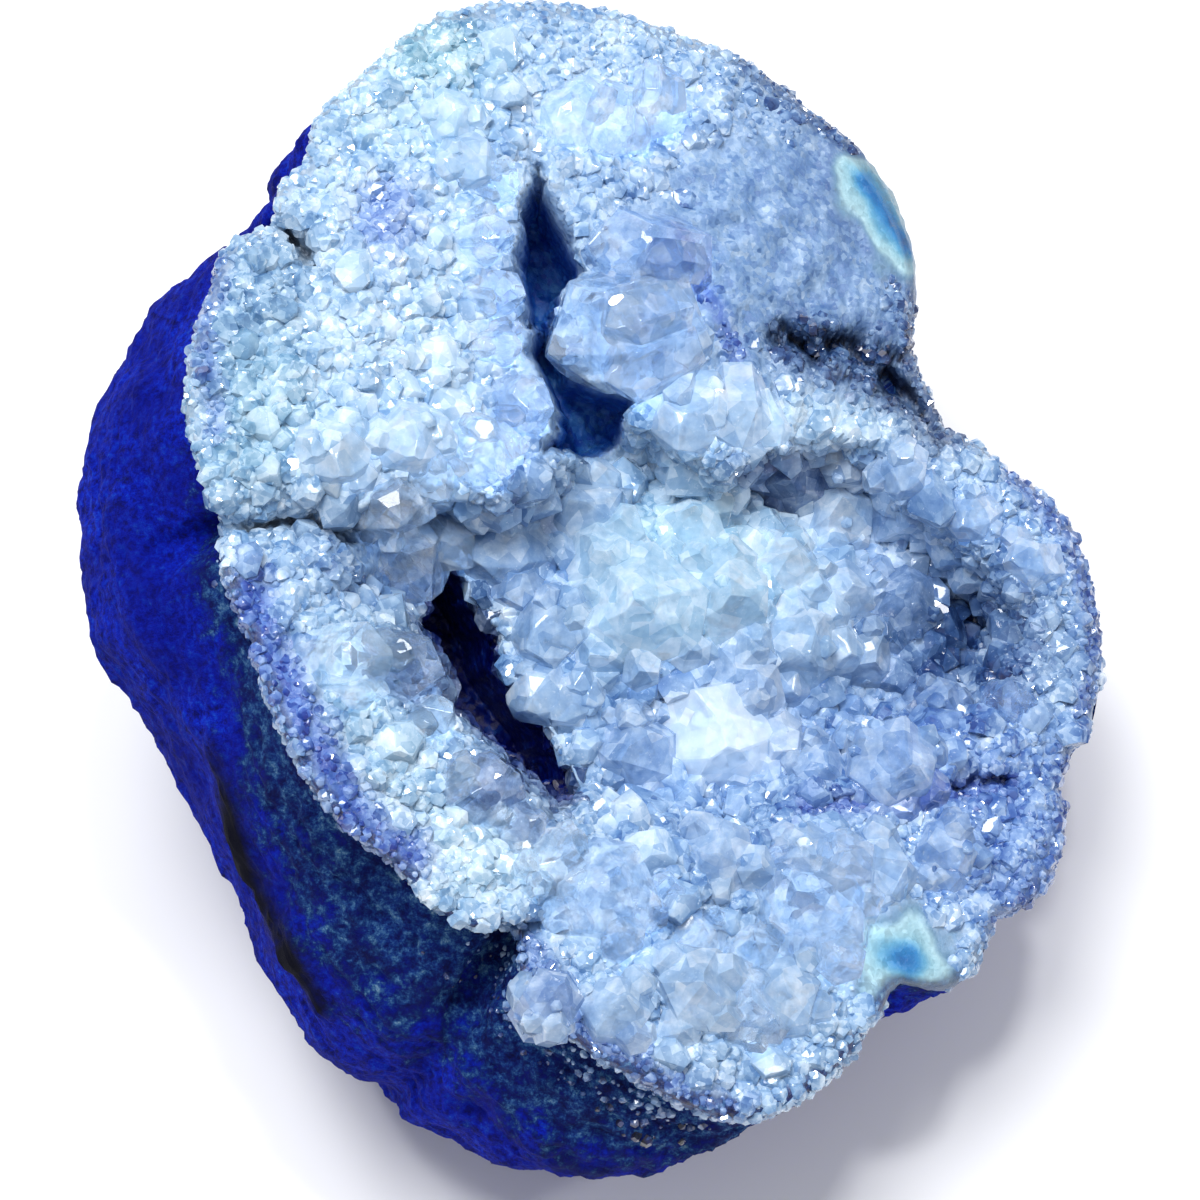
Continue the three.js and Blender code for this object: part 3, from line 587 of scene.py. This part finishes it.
def make_bed():
    """The crust's own surface under the points, from the middle of the face out over its rim."""
    columns, rows_out = COLUMNS, 150
    rim = round_rim(columns)
    turn = np.arctan2(rim[:, 1], rim[:, 0])
    shares = np.linspace(0.004, 0.955, rows_out)
    u = rim[:, 0] * shares[:, None]
    v = rim[:, 1] * shares[:, None]
    flat = np.dstack([u, v, np.zeros_like(u)])
    # The clefts' edges are jagged, the ground between the points is uneven, and the eyes smooth
    jagged = 0.55 * rough(flat, 1.3, 15, 3)
    w = cleft_height(u + jagged, v - jagged)
    eye = smooth(1.7 - eye_distance(u, v))
    ground = 0.75 * rough(flat, 2.6, 11, 3) + 0.25 * rough(flat, 0.8, 12, 2)
    w = w + ground * (1 - eye) * smooth(shares[:, None] * 6)
    # The breaks run crooked, and close here and there
    warp = 0.8 * rough(flat, 1.8, 21, 2)
    torn = smooth(0.75 + 1.6 * rough(flat, 1.8, 23, 3))
    broken = np.zeros_like(u)
    for path, width, depth, dark in BREAKS:
        opened = np.exp(-(path_distance(u + warp, v - warp, path) / width) ** 2) * torn
        w = w - depth * opened
        broken = np.maximum(broken, dark * opened)
    # The clefts run in under the crust to the left of them
    deep = mouth_height(u, v) - w
    u = u - 2.6 * smooth((deep - 9.5) / 13) * smooth(shares[:, None] * 4)
    rows = list(np.dstack([u, v, w]))
    # The broken edge: rounded over the rim, uneven, and tucked in behind the rind's own edge
    top = face_height(rim[:, 0], rim[:, 1])
    uneven = rough(np.column_stack([np.cos(turn) * 30, np.sin(turn) * 30, turn * 0]), 2.2, 13, 3)
    for share, fall in EDGE_ROWS:
        jag = 0.35 * rough(np.column_stack([rim[:, :2], np.full(columns, fall * 2)]), 1.1, 14, 2)
        loose = smooth(fall / 1.5) * smooth((4.3 - fall) / 1.5) / 40
        out = 1 + (jag + 0.25 * uneven - 0.25) * loose
        height = top - fall * (1 + 0.25 * uneven * (fall < 3.5))
        rows.append(np.column_stack([rim[:, 0] * share * out, rim[:, 1] * share * out, height]))
    skyward = len(rows)
    for share in UNDER_SHARES:
        x, y = rim[:, 0] * share, rim[:, 1] * share
        rows.append(np.column_stack([x, y, shell_height(x, y) + LIFT]))
    middle = np.array([[0, 0, rows[0][:, 2].mean()]])
    last = np.array([[0, 0, shell_height(np.zeros(1), np.zeros(1))[0] + LIFT]])
    points = np.concatenate([middle, *rows, last])
    piece = mesh_object("crust_bed", to_row(points), skin_faces(columns, len(rows)))
    pu, pv, pw = points.T
    # One value a point: for the middle, then the face's rows, then the edge and the underside
    others = len(points) - 1 - rows_out * columns
    broken = np.pad(broken.ravel(), (1, others))
    tint = tint_at(pu, pv, pw)
    # Painted shade in the breaks, near black where they open
    tint = tint + (linear(BREAK_SHADE_COLOUR) - tint) * broken[:, None]
    store(piece, "tint", tint, "FLOAT_COLOR")
    store(piece, "eye", eye_distance(pu, pv))
    share_out = np.pad(np.repeat(shares, columns), (1, others), constant_values=(0, 1))
    side = weathered_side(np.arctan2(pv, pu))
    patchy = np.pad(rough(flat, 1.2, 16, 3).ravel(), (1, others))
    worn = smooth((share_out - 0.965 + 0.02 * patchy + 0.03 * side) / 0.03) * np.sqrt(side)
    store(piece, "worn", worn)
    open_face = np.zeros(len(points))
    open_face[:1 + skyward * columns] = 1
    lip = np.zeros(len(points))
    lip[1 + rows_out * columns:1 + (rows_out + SUGARED_EDGE_ROWS) * columns] = 1
    free, apart = free_ground(pu, pv, open_face * (broken < 0.3))
    depth = mouth_height(pu, pv) - pw
    for name, thickly in growth(pu, pv, depth, share_out, apart, lip).items():
        store(piece, name, free * thickly)
    return piece


def free_ground(u, v, free):
    """Where crystals may grow at all: not in the agate eyes, down the clefts or under the feet of
    the clear points. And how far each place lies from the edge of a cleft."""
    free = free * smooth((eye_distance(u, v) - 1.15) * 3)
    apart = np.full(len(u), 9.0)
    for (edge, _), bare, reach in zip(CLEFTS, CLEFT_LIPS, CLEFT_REACHES):
        free = free * (depth_inside(u, v, edge) <= reach)
        apart = np.minimum(apart, path_distance(u, v, edge + edge[:1]) - bare)
    for u_top, v_top, radius, lean_u, lean_v in CLEAR_POINTS:
        foot = place_point(u_top, v_top, radius, lean_u, lean_v)[0]
        free = free * (np.hypot(u - foot.x, v - foot.y) > 0.95 * radius)
    return free, apart


def growth(u, v, depth, share_out, apart, lip):
    """How thickly each size of crystal stands: the large ones in the hollow, the small ones
    towards the rim, few on the smooth upper right lobe, and only sugar where the dye runs."""
    lobe = 1.2 * np.minimum(1, 1.3 * bell(u, v, 15, 28, 11, 10))
    dyed = np.zeros(len(u))
    for path, width, _, strength in DYE_LINES:
        dyed = np.maximum(dyed, strength * np.exp(-(path_distance(u, v, path) / width) ** 2))
    undyed = 1 - smooth(dyed * 3 - 0.3)
    hollow = smooth((depth - 1) / 5)
    swollen = bell(u, v, -12, 13, 8, 5)
    rim_side = smooth((share_out - 0.7) / 0.25)
    medium = np.clip(0.2 + 0.8 * hollow + 0.8 * swollen - lobe, 0, 1) * (share_out < 0.93)
    medium = medium * undyed * (apart > 0.9) * smooth((13 - depth) / 3)
    fine = np.clip(1 - lobe, 0, 1) * (apart > 0.15) * smooth((20 - depth) / 6)
    fine = fine * undyed * (share_out < 0.985)
    sugar = np.clip(rim_side - lobe + 0.25, 0, 1) * smooth((8 - depth) / 4)
    sugar = np.maximum(sugar, 1 - undyed) * np.maximum(share_out < 0.99, lip)
    return {"medium": medium, "fine": fine, "sugar": sugar}


def cut_crystal(radius, stands, tip, root, chance, uneven=0.12, blunt=0.0):
    """One quartz point in bmesh: a prism cut by six tip faces, three of them larger."""
    bm = bmesh.new()
    bmesh.ops.create_cube(bm, size=4 * radius + 2 * (stands + tip + root))

    def cut(normal, distance):
        geom = bm.verts[:] + bm.edges[:] + bm.faces[:]
        bmesh.ops.bisect_plane(bm, geom=geom, plane_co=normal * distance, plane_no=normal,
                               clear_outer=True)
        rim_edges = [edge for edge in bm.edges if edge.is_boundary]
        if rim_edges:
            bmesh.ops.holes_fill(bm, edges=rim_edges, sides=0)

    twist = chance.uniform(0, math.pi / 3)
    steep = math.atan2(tip, radius)
    for side in range(6):
        angle = twist + side * math.pi / 3
        flat = Vector((math.cos(angle), math.sin(angle), 0))
        cut(flat, radius * (0.9 + chance.uniform(-uneven, uneven)))
        big = side % 2 == 0
        tilted = (flat * math.sin(steep) + Vector((0, 0, math.cos(steep)))).normalized()
        reach = (stands + tip) * math.cos(steep)
        cut(tilted, reach * (0.93 if big else 1.02) * (1 + chance.uniform(-uneven, uneven) * 0.5))
    if blunt:
        top = Vector((chance.uniform(-0.3, 0.3), chance.uniform(-0.3, 0.3), 1)).normalized()
        cut(top, (stands + tip) * (1 - blunt))
    cut(Vector((0, 0, -1)), root)
    return bm


def place_point(u, v, radius, lean_u, lean_v):
    """Where a point's root stands and which way it leans, so that its middle is over u, v."""
    axis = Vector((lean_u, lean_v, 1)).normalized()
    stands = radius * (0.4 + 0.35 * math.hypot(lean_u, lean_v))
    tip = radius * 1.05
    root_u = u - axis.x * (stands + tip) / 2
    root_v = v - axis.y * (stands + tip) / 2
    height = float(face_height(np.array([root_u]), np.array([root_v]))[0])
    return Vector((root_u, root_v, height)), axis, stands, tip


def make_points(name, points, bevel, seed):
    """Large quartz points as one joined mesh, each with smaller ones grown against its foot. Each
    vertex knows its point's dye, shade and ground, and how far up the point it is."""
    whole = bmesh.new()
    tint_layer = whole.verts.layers.float_color.new("tint")
    shade_layer = whole.verts.layers.float.new("shade")
    tip_layer = whole.verts.layers.float.new("tipward")
    flank_layer = whole.verts.layers.float.new("flank")
    lay_layer = whole.verts.layers.float_vector.new("lay")
    lay = Vector(turn_to_row([face_normal])[0])

    def add_point(root, axis, radius, stands, tip, chance, flank):
        bm = cut_crystal(radius, stands, tip, radius * 0.9, chance)
        bmesh.ops.bevel(bm, geom=bm.edges[:], offset=radius * bevel, segments=2, profile=0.6,
                        affect="EDGES", clamp_overlap=True)
        bm.verts.index_update()
        turn = Vector((0, 0, 1)).rotation_difference(axis)
        place = [np.array([value]) for value in (root.x, root.y, root.z + stands)]
        lit = tint_at(*place)[0]
        shade = chance.random()
        made = []
        for vert in bm.verts:
            new = whole.verts.new(turn @ vert.co + root)
            new[tint_layer] = lit
            new[shade_layer] = shade
            new[lay_layer] = lay
            new[tip_layer] = min(1, max(0, vert.co.z / (stands + tip)))
            new[flank_layer] = max(0, 0.7 - 1.1 * new[tip_layer]) * flank
            made.append(new)
        for face in bm.faces:
            whole.faces.new([made[vert.index] for vert in face.verts])
        bm.free()

    for number, (u, v, radius, lean_u, lean_v) in enumerate(points):
        chance = random.Random(seed * 1000 + number)
        root, axis, stands, tip = place_point(u, v, radius, lean_u, lean_v)
        add_point(root, axis, radius, stands, tip, chance, chance.random() < 0.6)
        across = axis.orthogonal().normalized()
        for _ in range(2 + round(radius)):
            side = across.copy()
            side.rotate(Quaternion(axis, chance.uniform(0, 2 * math.pi)))
            small = radius * chance.uniform(0.28, 0.6)
            foot = root + side * (radius - small * chance.uniform(0.1, 0.5))
            lean = (axis + side * chance.uniform(0.05, 0.35)).normalized()
            rise = stands + tip - radius * chance.uniform(0.5, 1.1)
            top = foot + lean * rise
            if any(depth_inside(top.x, top.y, edge) > 0 for edge, _ in CLEFTS):
                continue
            add_point(foot, lean, small, max(0.2 * small, rise - small * 0.6), small * 1.05,
                      chance, 0)
    bmesh.ops.triangulate(whole, faces=whole.faces[:])
    mesh = bpy.data.meshes.new(name)
    whole.to_mesh(mesh)
    whole.free()
    flat = np.empty(len(mesh.vertices) * 3, dtype=np.float32)
    mesh.vertices.foreach_get("co", flat)
    mesh.vertices.foreach_set("co", to_row(flat.reshape(-1, 3)).astype(np.float32).ravel())
    mesh.update()
    piece = new_object(name, mesh)
    return piece


def make_seeds(name, count, seed, stands, blunt, sunk):
    """Small crystals of radius 1 m, from which the druse is grown. They stand so deep that
    neighbours run into each other and only their upper faces show."""
    group = bpy.data.collections.new(name)
    chance = random.Random(seed)
    for number in range(count):
        bm = cut_crystal(1.0, chance.uniform(*stands), chance.uniform(0.75, 1.15), 0.8, chance,
                         0.22, chance.uniform(0, blunt))
        bmesh.ops.triangulate(bm, faces=bm.faces[:])
        tip_layer = bm.verts.layers.float.new("tipward")
        tallest = max(vert.co.z for vert in bm.verts)
        for vert in bm.verts:
            vert[tip_layer] = min(1, max(0, vert.co.z / tallest))
            vert.co.z -= sunk
        mesh = bpy.data.meshes.new(f"{name}_{number}")
        bm.to_mesh(mesh)
        bm.free()
        group.objects.link(bpy.data.objects.new(f"{name}_{number}", mesh))
    return group


def grow_tree(seeds, material):
    """Crystals grown over a surface, as many as its density attribute asks for."""
    tree = bpy.data.node_groups.new("grow_crystals", "GeometryNodeTree")
    sockets = {}
    for name, kind in [
        ("Ground", "NodeSocketGeometry"), ("Where", "NodeSocketString"),
        ("Spacing", "NodeSocketFloat"), ("Smallest", "NodeSocketFloat"),
        ("Largest", "NodeSocketFloat"), ("Lean", "NodeSocketFloat"), ("Seed", "NodeSocketInt"),
    ]:
        sockets[name] = tree.interface.new_socket(name, in_out="INPUT", socket_type=kind)
    tree.interface.new_socket("Crystals", in_out="OUTPUT", socket_type="NodeSocketGeometry")
    given = tree.nodes.new("NodeGroupInput").outputs
    where = add(tree, "GeometryNodeInputNamedAttribute", {"Name": given["Where"]},
                data_type="FLOAT")
    points = add(tree, "GeometryNodeDistributePointsOnFaces", {
        "Mesh": given["Ground"], "Distance Min": given["Spacing"], "Density Max": 4e6,
        "Density Factor": where, "Seed": given["Seed"],
    }, distribute_method="POISSON")
    spots = points.node.outputs
    least = add(tree, "ShaderNodeMath", {0: given["Lean"], 1: -1.0}, operation="MULTIPLY")
    low = add(tree, "ShaderNodeCombineXYZ", {0: least, 1: least, 2: -math.pi})
    high = add(tree, "ShaderNodeCombineXYZ", {0: given["Lean"], 1: given["Lean"], 2: math.pi})
    turn = add(tree, "FunctionNodeRandomValue", {"Min": low, "Max": high, "Seed": given["Seed"]},
               data_type="FLOAT_VECTOR")
    facing = add(tree, "FunctionNodeRotateRotation",
                 {"Rotation": spots["Rotation"], "Rotate By": turn}, rotation_space="LOCAL")
    chance = add(tree, "FunctionNodeRandomValue", {"Seed": 7}, 1, data_type="FLOAT")
    skew = add(tree, "ShaderNodeMath", {0: chance, 1: 1.7}, operation="POWER")
    size = ranged(tree, skew, to=(given["Smallest"], given["Largest"]))
    shapes = add(tree, "GeometryNodeCollectionInfo",
                 {"Collection": seeds, "Separate Children": True, "Reset Children": True})
    placed = add(tree, "GeometryNodeInstanceOnPoints", {
        "Points": points, "Instance": shapes, "Pick Instance": True, "Rotation": facing,
        "Scale": size,
    })
    shade = add(tree, "FunctionNodeRandomValue", {"Seed": 3}, 1, data_type="FLOAT")
    shaded = add(tree, "GeometryNodeStoreNamedAttribute",
                 {"Geometry": placed, "Name": "shade", "Value": shade},
                 data_type="FLOAT", domain="INSTANCE")
    laid = add(tree, "GeometryNodeStoreNamedAttribute",
               {"Geometry": shaded, "Name": "lay", "Value": spots["Normal"]},
               data_type="FLOAT_VECTOR", domain="INSTANCE")
    solid = add(tree, "GeometryNodeRealizeInstances", {"Geometry": laid})
    coated = add(tree, "GeometryNodeSetMaterial", {"Geometry": solid, "Material": material})
    add(tree, "NodeGroupOutput", {0: coated})
    return tree, sockets


def grow(name, ground, seeds, material, where, spacing, smallest, largest, lean, seed):
    """Crystals grown over a piece as one plain mesh; sizes in millimetres, lean in degrees."""
    tree, sockets = grow_tree(seeds, material)
    piece = new_object(name, ground.data)
    growth = piece.modifiers.new("growth", "NODES")
    growth.node_group = tree
    for label, value in [
        ("Where", where), ("Spacing", spacing / 1000), ("Smallest", smallest / 1000),
        ("Largest", largest / 1000), ("Lean", math.radians(lean)), ("Seed", seed),
    ]:
        growth[sockets[label].identifier] = value
    grown = piece.evaluated_get(bpy.context.evaluated_depsgraph_get())
    mesh = bpy.data.meshes.new_from_object(grown)
    mesh.name = name
    piece.modifiers.remove(growth)
    piece.data = mesh
    return piece


def new_material(name):
    material = bpy.data.materials.new(name)
    material.use_nodes = True
    material.node_tree.nodes.clear()
    return material, material.node_tree


def facet_normals(tree, place, straight, size, tilt):
    """A normal turned a little and differently in each small cell, as the many tiny faces of
    sugary quartz turn; and a tone for each cell. The size is in millimetres."""
    cells = add(tree, "ShaderNodeTexVoronoi", {"Vector": place, "Scale": 1000 / size}, "Color")
    spread = add(tree, "ShaderNodeVectorMath", {0: cells, 1: (0.5, 0.5, 0.5)},
                 operation="SUBTRACT")
    tilted = add(tree, "ShaderNodeVectorMath", {0: spread, "Scale": tilt}, operation="SCALE")
    turned = add(tree, "ShaderNodeVectorMath", {0: straight, 1: tilted}, operation="ADD")
    normal = add(tree, "ShaderNodeVectorMath", {0: turned}, operation="NORMALIZE")
    return normal, add(tree, "ShaderNodeSeparateXYZ", {0: cells})


def cloudy_tint(tree, place, tone, size, least, most, flecks):
    """The stored tint, cloudy: from deep and clear to white and milky, a little different in each
    tiny cell, and white in small flecks that are partly bruises and partly painted glints. The
    clouds' size is in millimetres."""
    tint = stored(tree, "tint", "Color")
    cloud = cloudiness(tree, place, size, 5.0, 0.65)
    power = ranged(tree, cloud, (0.32, 0.68), (most, least))
    speck = ranged(tree, tone, to=(0.4, -0.3))
    power = add(tree, "ShaderNodeMath", {0: power, 1: speck}, operation="ADD")
    colour = add(tree, "ShaderNodeGamma", {"Color": tint, "Gamma": power})
    white = add(tree, "ShaderNodeGamma", {"Color": tint, "Gamma": 0.38})
    # Painted glints with bruises: small white flecks
    bruise_and_glint = cloudiness(tree, place, 0.5, 4.0, 0.75)
    bruise_and_glint = ranged(tree, bruise_and_glint, (0.6, 0.68), (0, flecks))
    return mix_colours(tree, bruise_and_glint, colour, white)


def soft_normal(tree, straight, share):
    """The face's normal turned towards the way the ground lies, because light that scatters
    inside milky quartz leaves all its faces nearly alike."""
    lay = stored(tree, "lay", "Vector")
    lay = add(tree, "ShaderNodeVectorTransform", {0: lay}, vector_type="NORMAL",
              convert_from="OBJECT", convert_to="WORLD")
    mixed = add(tree, "ShaderNodeMix", {0: share, 4: straight, 5: lay}, 1, data_type="VECTOR")
    return add(tree, "ShaderNodeVectorMath", {0: mixed}, operation="NORMALIZE")


def milky_material(name, facet_size, facet_tilt, glow, softness, root_dye_and_shade):
    """Milky quartz: it scatters light inside, so its faces are soft, under a glassy skin of tiny
    growth steps that glint. It is bluer and darker towards the root of each point: partly where
    the dye sat, and partly painted shade between the points."""
    material, tree = new_material(name)
    place = add(tree, "ShaderNodeTexCoord", out="Object")
    straight = add(tree, "ShaderNodeNewGeometry", out="Normal")
    shade = stored(tree, "shade")
    tipward = stored(tree, "tipward")
    skin, tone = facet_normals(tree, place, straight, facet_size, facet_tilt)
    soft = soft_normal(tree, straight, softness)
    colour = cloudy_tint(tree, place, tone, 2.5, 0.6, 1.5, 0.7)
    # Painted shade with dye: darker and bluer towards each point's root, between the points
    rooted_dye_and_shade = ranged(tree, tipward, (0, 0.85), (root_dye_and_shade, 0.8))
    tone_and_root_shade = add(tree, "ShaderNodeMath", {0: shade, 1: 0.5, 2: rooted_dye_and_shade}, operation="MULTIPLY_ADD")
    colour = add(tree, "ShaderNodeGamma", {"Color": colour, "Gamma": tone_and_root_shade})
    shader = add(tree, "ShaderNodeBsdfPrincipled", {
        "Base Color": colour, "Roughness": 0.3, "IOR": 1.544, "Specular IOR Level": 0.2,
        "Normal": soft, "Coat Weight": 1.0, "Coat Roughness": 0.03, "Coat IOR": 1.6,
        "Coat Normal": skin,
        "Subsurface Weight": glow, "Subsurface Radius": (1.0, 1.1, 1.2),
        "Subsurface Scale": 0.0012,
    }, subsurface_method="BURLEY")
    add(tree, "ShaderNodeOutputMaterial", {"Surface": shader})
    return material


def clear_material(name, see_through, facet_size, facet_tilt, least, most):
    """Clear or hazy quartz: see-through with a faint blue of its own, and polished growth faces
    in steps that break up what shines through them."""
    material, tree = new_material(name)
    place = add(tree, "ShaderNodeTexCoord", out="Object")
    straight = add(tree, "ShaderNodeNewGeometry", out="Normal")
    faces, tone = facet_normals(tree, place, straight, facet_size, facet_tilt)
    tint = cloudy_tint(tree, place, tone, 1.6, least, most, 0.5)
    shader = add(tree, "ShaderNodeBsdfPrincipled", {
        "Base Color": tint, "Roughness": 0.02, "IOR": 1.544, "Transmission Weight": see_through,
        "Normal": faces,
    })
    inside = add(tree, "ShaderNodeVolumeAbsorption",
                 {"Color": linear("#C0D6FA"), "Density": 20.0})
    add(tree, "ShaderNodeOutputMaterial", {"Surface": shader, "Volume": inside})
    return material


def weathered_colour(tree, place, worn):
    """Weathered agate at the rim: navy with teal-grey and nearly white crumbs, the more of them
    the nearer it is to the crust."""
    crumbs = cloudiness(tree, place, 1.1, 8.0, 0.8)
    crumbs = add(tree, "ShaderNodeMath", {0: worn, 1: 0.1, 2: crumbs}, operation="MULTIPLY_ADD")
    return add(tree, "ShaderNodeValToRGB", {0: crumbs}, stops=[
        (0.44, "#00021A"), (0.54, "#02104E"), (0.62, "#123A78"), (0.7, "#44749E"),
        (0.8, "#A8C6D6"),
    ])


def bed_material():
    """The crust between its points: sugary dyed quartz, banded agate at the two eyes, and
    weathered stone along the lower rim."""
    material, tree = new_material("sugary_quartz_and_agate_eyes")
    place = add(tree, "ShaderNodeTexCoord", out="Object")
    straight = add(tree, "ShaderNodeNewGeometry", out="Normal")
    eye = stored(tree, "eye")
    worn = stored(tree, "worn")
    grains, tone = facet_normals(tree, place, straight, 0.45, 0.5)
    colour = cloudy_tint(tree, place, tone, 1.8, 0.8, 1.45, 0.35)
    wobble = cloudiness(tree, place, 1.6, 3.0)
    wobble = ranged(tree, wobble, to=(-0.2, 0.2))
    ring = add(tree, "ShaderNodeMath", {0: eye, 1: wobble}, operation="ADD")
    halved = add(tree, "ShaderNodeMath", {0: ring, 1: 0.5}, operation="MULTIPLY")
    banded = add(tree, "ShaderNodeValToRGB", {0: halved}, stops=[
        (0.0, "#16609E"), (0.1, "#2A7CB6"), (0.2, "#5C9CBE"), (0.3, "#8CB8C8"),
        (0.44, "#A2C6D2"), (0.53, "#6C90AC"), (0.68, "#6486AC"),
    ])
    inside = ranged(tree, ring, (1.05, 1.4), (1.0, 0.0))
    colour = mix_colours(tree, inside, colour, banded)
    crumbs = weathered_colour(tree, place, worn)
    colour = mix_colours(tree, worn, colour, crumbs)
    height = cloudiness(tree, place, 1.0, 6.0, 0.7)
    rough_skin = add(tree, "ShaderNodeBump", {"Height": height, "Strength": 0.6,
                                              "Distance": 0.0004, "Normal": grains})
    shader = add(tree, "ShaderNodeBsdfPrincipled", {
        "Base Color": colour, "Roughness": 0.28, "IOR": 1.54, "Normal": rough_skin,
    })
    add(tree, "ShaderNodeOutputMaterial", {"Surface": shader})
    return material


def rind_material():
    """The dyed agate skin: matt felted ultramarine, crumbly teal-grey where it is weathered near
    the rim, and nearly black in its folds and low places, which is painted shade."""
    material, tree = new_material("dyed_agate_weathered_rind")
    place = add(tree, "ShaderNodeTexCoord", out="Object")
    worn = stored(tree, "worn")
    sunk = stored(tree, "sunk")
    felt = cloudiness(tree, place, 0.7, 6.0, 0.8)
    colour = add(tree, "ShaderNodeValToRGB", {0: felt}, stops=[
        (0.34, "#00003C"), (0.45, "#00108A"), (0.54, "#0020C4"), (0.64, "#0A44D0"),
        (0.76, "#4878D0"),
    ])
    patches = cloudiness(tree, place, 6, 4.0)
    patches = ranged(tree, patches, (0.42, 0.62), (0, 0.6))
    colour = mix_colours(tree, patches, colour, linear("#00087C"))
    ragged = cloudiness(tree, place, 2.2, 5.0, 0.7)
    ragged = ranged(tree, ragged, (0.3, 0.7), (-0.45, 0.45))
    share = add(tree, "ShaderNodeMath", {0: worn, 1: ragged}, operation="ADD")
    share = ranged(tree, share, (0.3, 0.75), (0, 0.9))
    crumbs = weathered_colour(tree, place, worn)
    colour = mix_colours(tree, share, colour, crumbs)
    # Painted shade in the folds and low places of the skin
    colour = mix_colours(tree, sunk, colour, linear("#000218"))
    bump = add(tree, "ShaderNodeBump", {"Height": felt, "Strength": 1.0, "Distance": 0.0005})
    shader = add(tree, "ShaderNodeBsdfPrincipled", {
        "Base Color": colour, "Roughness": 0.85, "IOR": 1.53, "Specular IOR Level": 0.12,
        "Normal": bump,
    })
    add(tree, "ShaderNodeOutputMaterial", {"Surface": shader})
    return material


def floor_material():
    material, tree = new_material("matt_white_paper")
    shader = add(tree, "ShaderNodeBsdfPrincipled",
                 {"Base Color": linear("#F4F5F7"), "Roughness": 0.9})
    add(tree, "ShaderNodeOutputMaterial", {"Surface": shader})
    return material


def area_light(name, towards, distance, size, power):
    """A square lamp that shines on the middle of the face from a face-frame direction."""
    aim = Vector(turn_to_row([towards])[0]).normalized()
    lamp = bpy.data.lights.new(name, "AREA")
    lamp.size = size
    lamp.energy = power
    holder = new_object(name, lamp)
    holder.location = Vector(REST) / 1000 + aim * distance
    holder.rotation_euler = aim.to_track_quat("Z", "Y").to_euler()


rind = make_rind()
bed = make_bed()
milky = make_points("milky_points", MILKY_POINTS, 0.09, 1)
clear = make_points("clear_points", CLEAR_POINTS, 0.035, 2)
milky_quartz = milky_material("milky_quartz_grown_faces", 0.9, 0.3, 0.5, 0.45, 1.3)
sugar_quartz = milky_material("sugary_quartz_broken", 0.4, 0.6, 0.0, 0.4, 1.6)
clear_quartz = clear_material("clear_quartz_grown_faces", 0.75, 1.3, 0.5, 0.3, 1.0)
hazy_quartz = clear_material("hazy_quartz_grown_faces", 0.35, 1.4, 0.16, 0.55, 1.3)
seeds = make_seeds("seed_point", 10, 5, (0.1, 0.6), 0.1, 0.35)
broken = make_seeds("broken_grain", 10, 6, (0.0, 0.4), 0.45, 0.4)
medium = grow("medium_points", bed, seeds, milky_quartz, "medium", 1.9, 1.0, 2.1, 24, 1)
side = grow("side_points", milky, seeds, milky_quartz, "flank", 1.7, 0.4, 1.2, 25, 4)
fine = grow("fine_points", bed, broken, sugar_quartz, "fine", 0.95, 0.6, 1.25, 38, 2)
sugar = grow("sugar_grains", bed, broken, sugar_quartz, "sugar", 0.54, 0.22, 0.68, 50, 3)
crumbs = grow("rim_crumbs", rind, broken, sugar_quartz, "crumbs", 0.42, 0.12, 0.45, 50, 5)

rind.data.materials.append(rind_material())
bed.data.materials.append(bed_material())
milky.data.materials.append(hazy_quartz)
clear.data.materials.append(clear_quartz)
# Light passes through quartz, so what lies under a large point and inside it isn't in its shadow
clear.visible_shadow = False
milky.visible_shadow = False

for piece in (rind, bed, milky, clear, medium, side, fine, sugar, crumbs):
    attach(piece, "root")
    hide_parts("shell" if piece is rind else "crystal_crust")

# The floor
floor_mesh = bpy.data.meshes.new("floor")
floor_mesh.from_pydata([(-3, -3, 0), (3, -3, 0), (3, 3, 0), (-3, 3, 0)], [], [(0, 1, 2, 3)])
floor = new_object("floor", floor_mesh)
floor.data.materials.append(floor_material())

# Dim white room light, a soft box from the upper left, and small lamps that make faces glint
world = bpy.data.worlds.new("room")
bpy.context.scene.world = world
world.use_nodes = True
world.node_tree.nodes["Background"].inputs[0].default_value = linear("#FAFBFF")
world.node_tree.nodes["Background"].inputs[1].default_value = 0.48
area_light("soft_box", (-0.25, 0.65, 0.9), 0.7, 0.28, 3.6)
area_light("glint_top", (0.1, 0.7, 0.9), 0.6, 0.06, 1.0)
area_light("glint_left", (-0.5, 0.6, 0.8), 0.6, 0.05, 0.5)
area_light("glint_right", (0.7, 0.3, 0.8), 0.6, 0.05, 0.5)

camera_data = bpy.data.cameras.new("camera")
camera_data.lens = 100
camera_data.sensor_width = 36
camera = new_object("camera", camera_data)
camera.location = Vector(to_row([(0, 0, 241.7)])[0])
camera.rotation_euler = (LEAN, 0, 0)
bpy.context.scene.camera = camera
bpy.context.scene.view_settings.view_transform = "Standard"
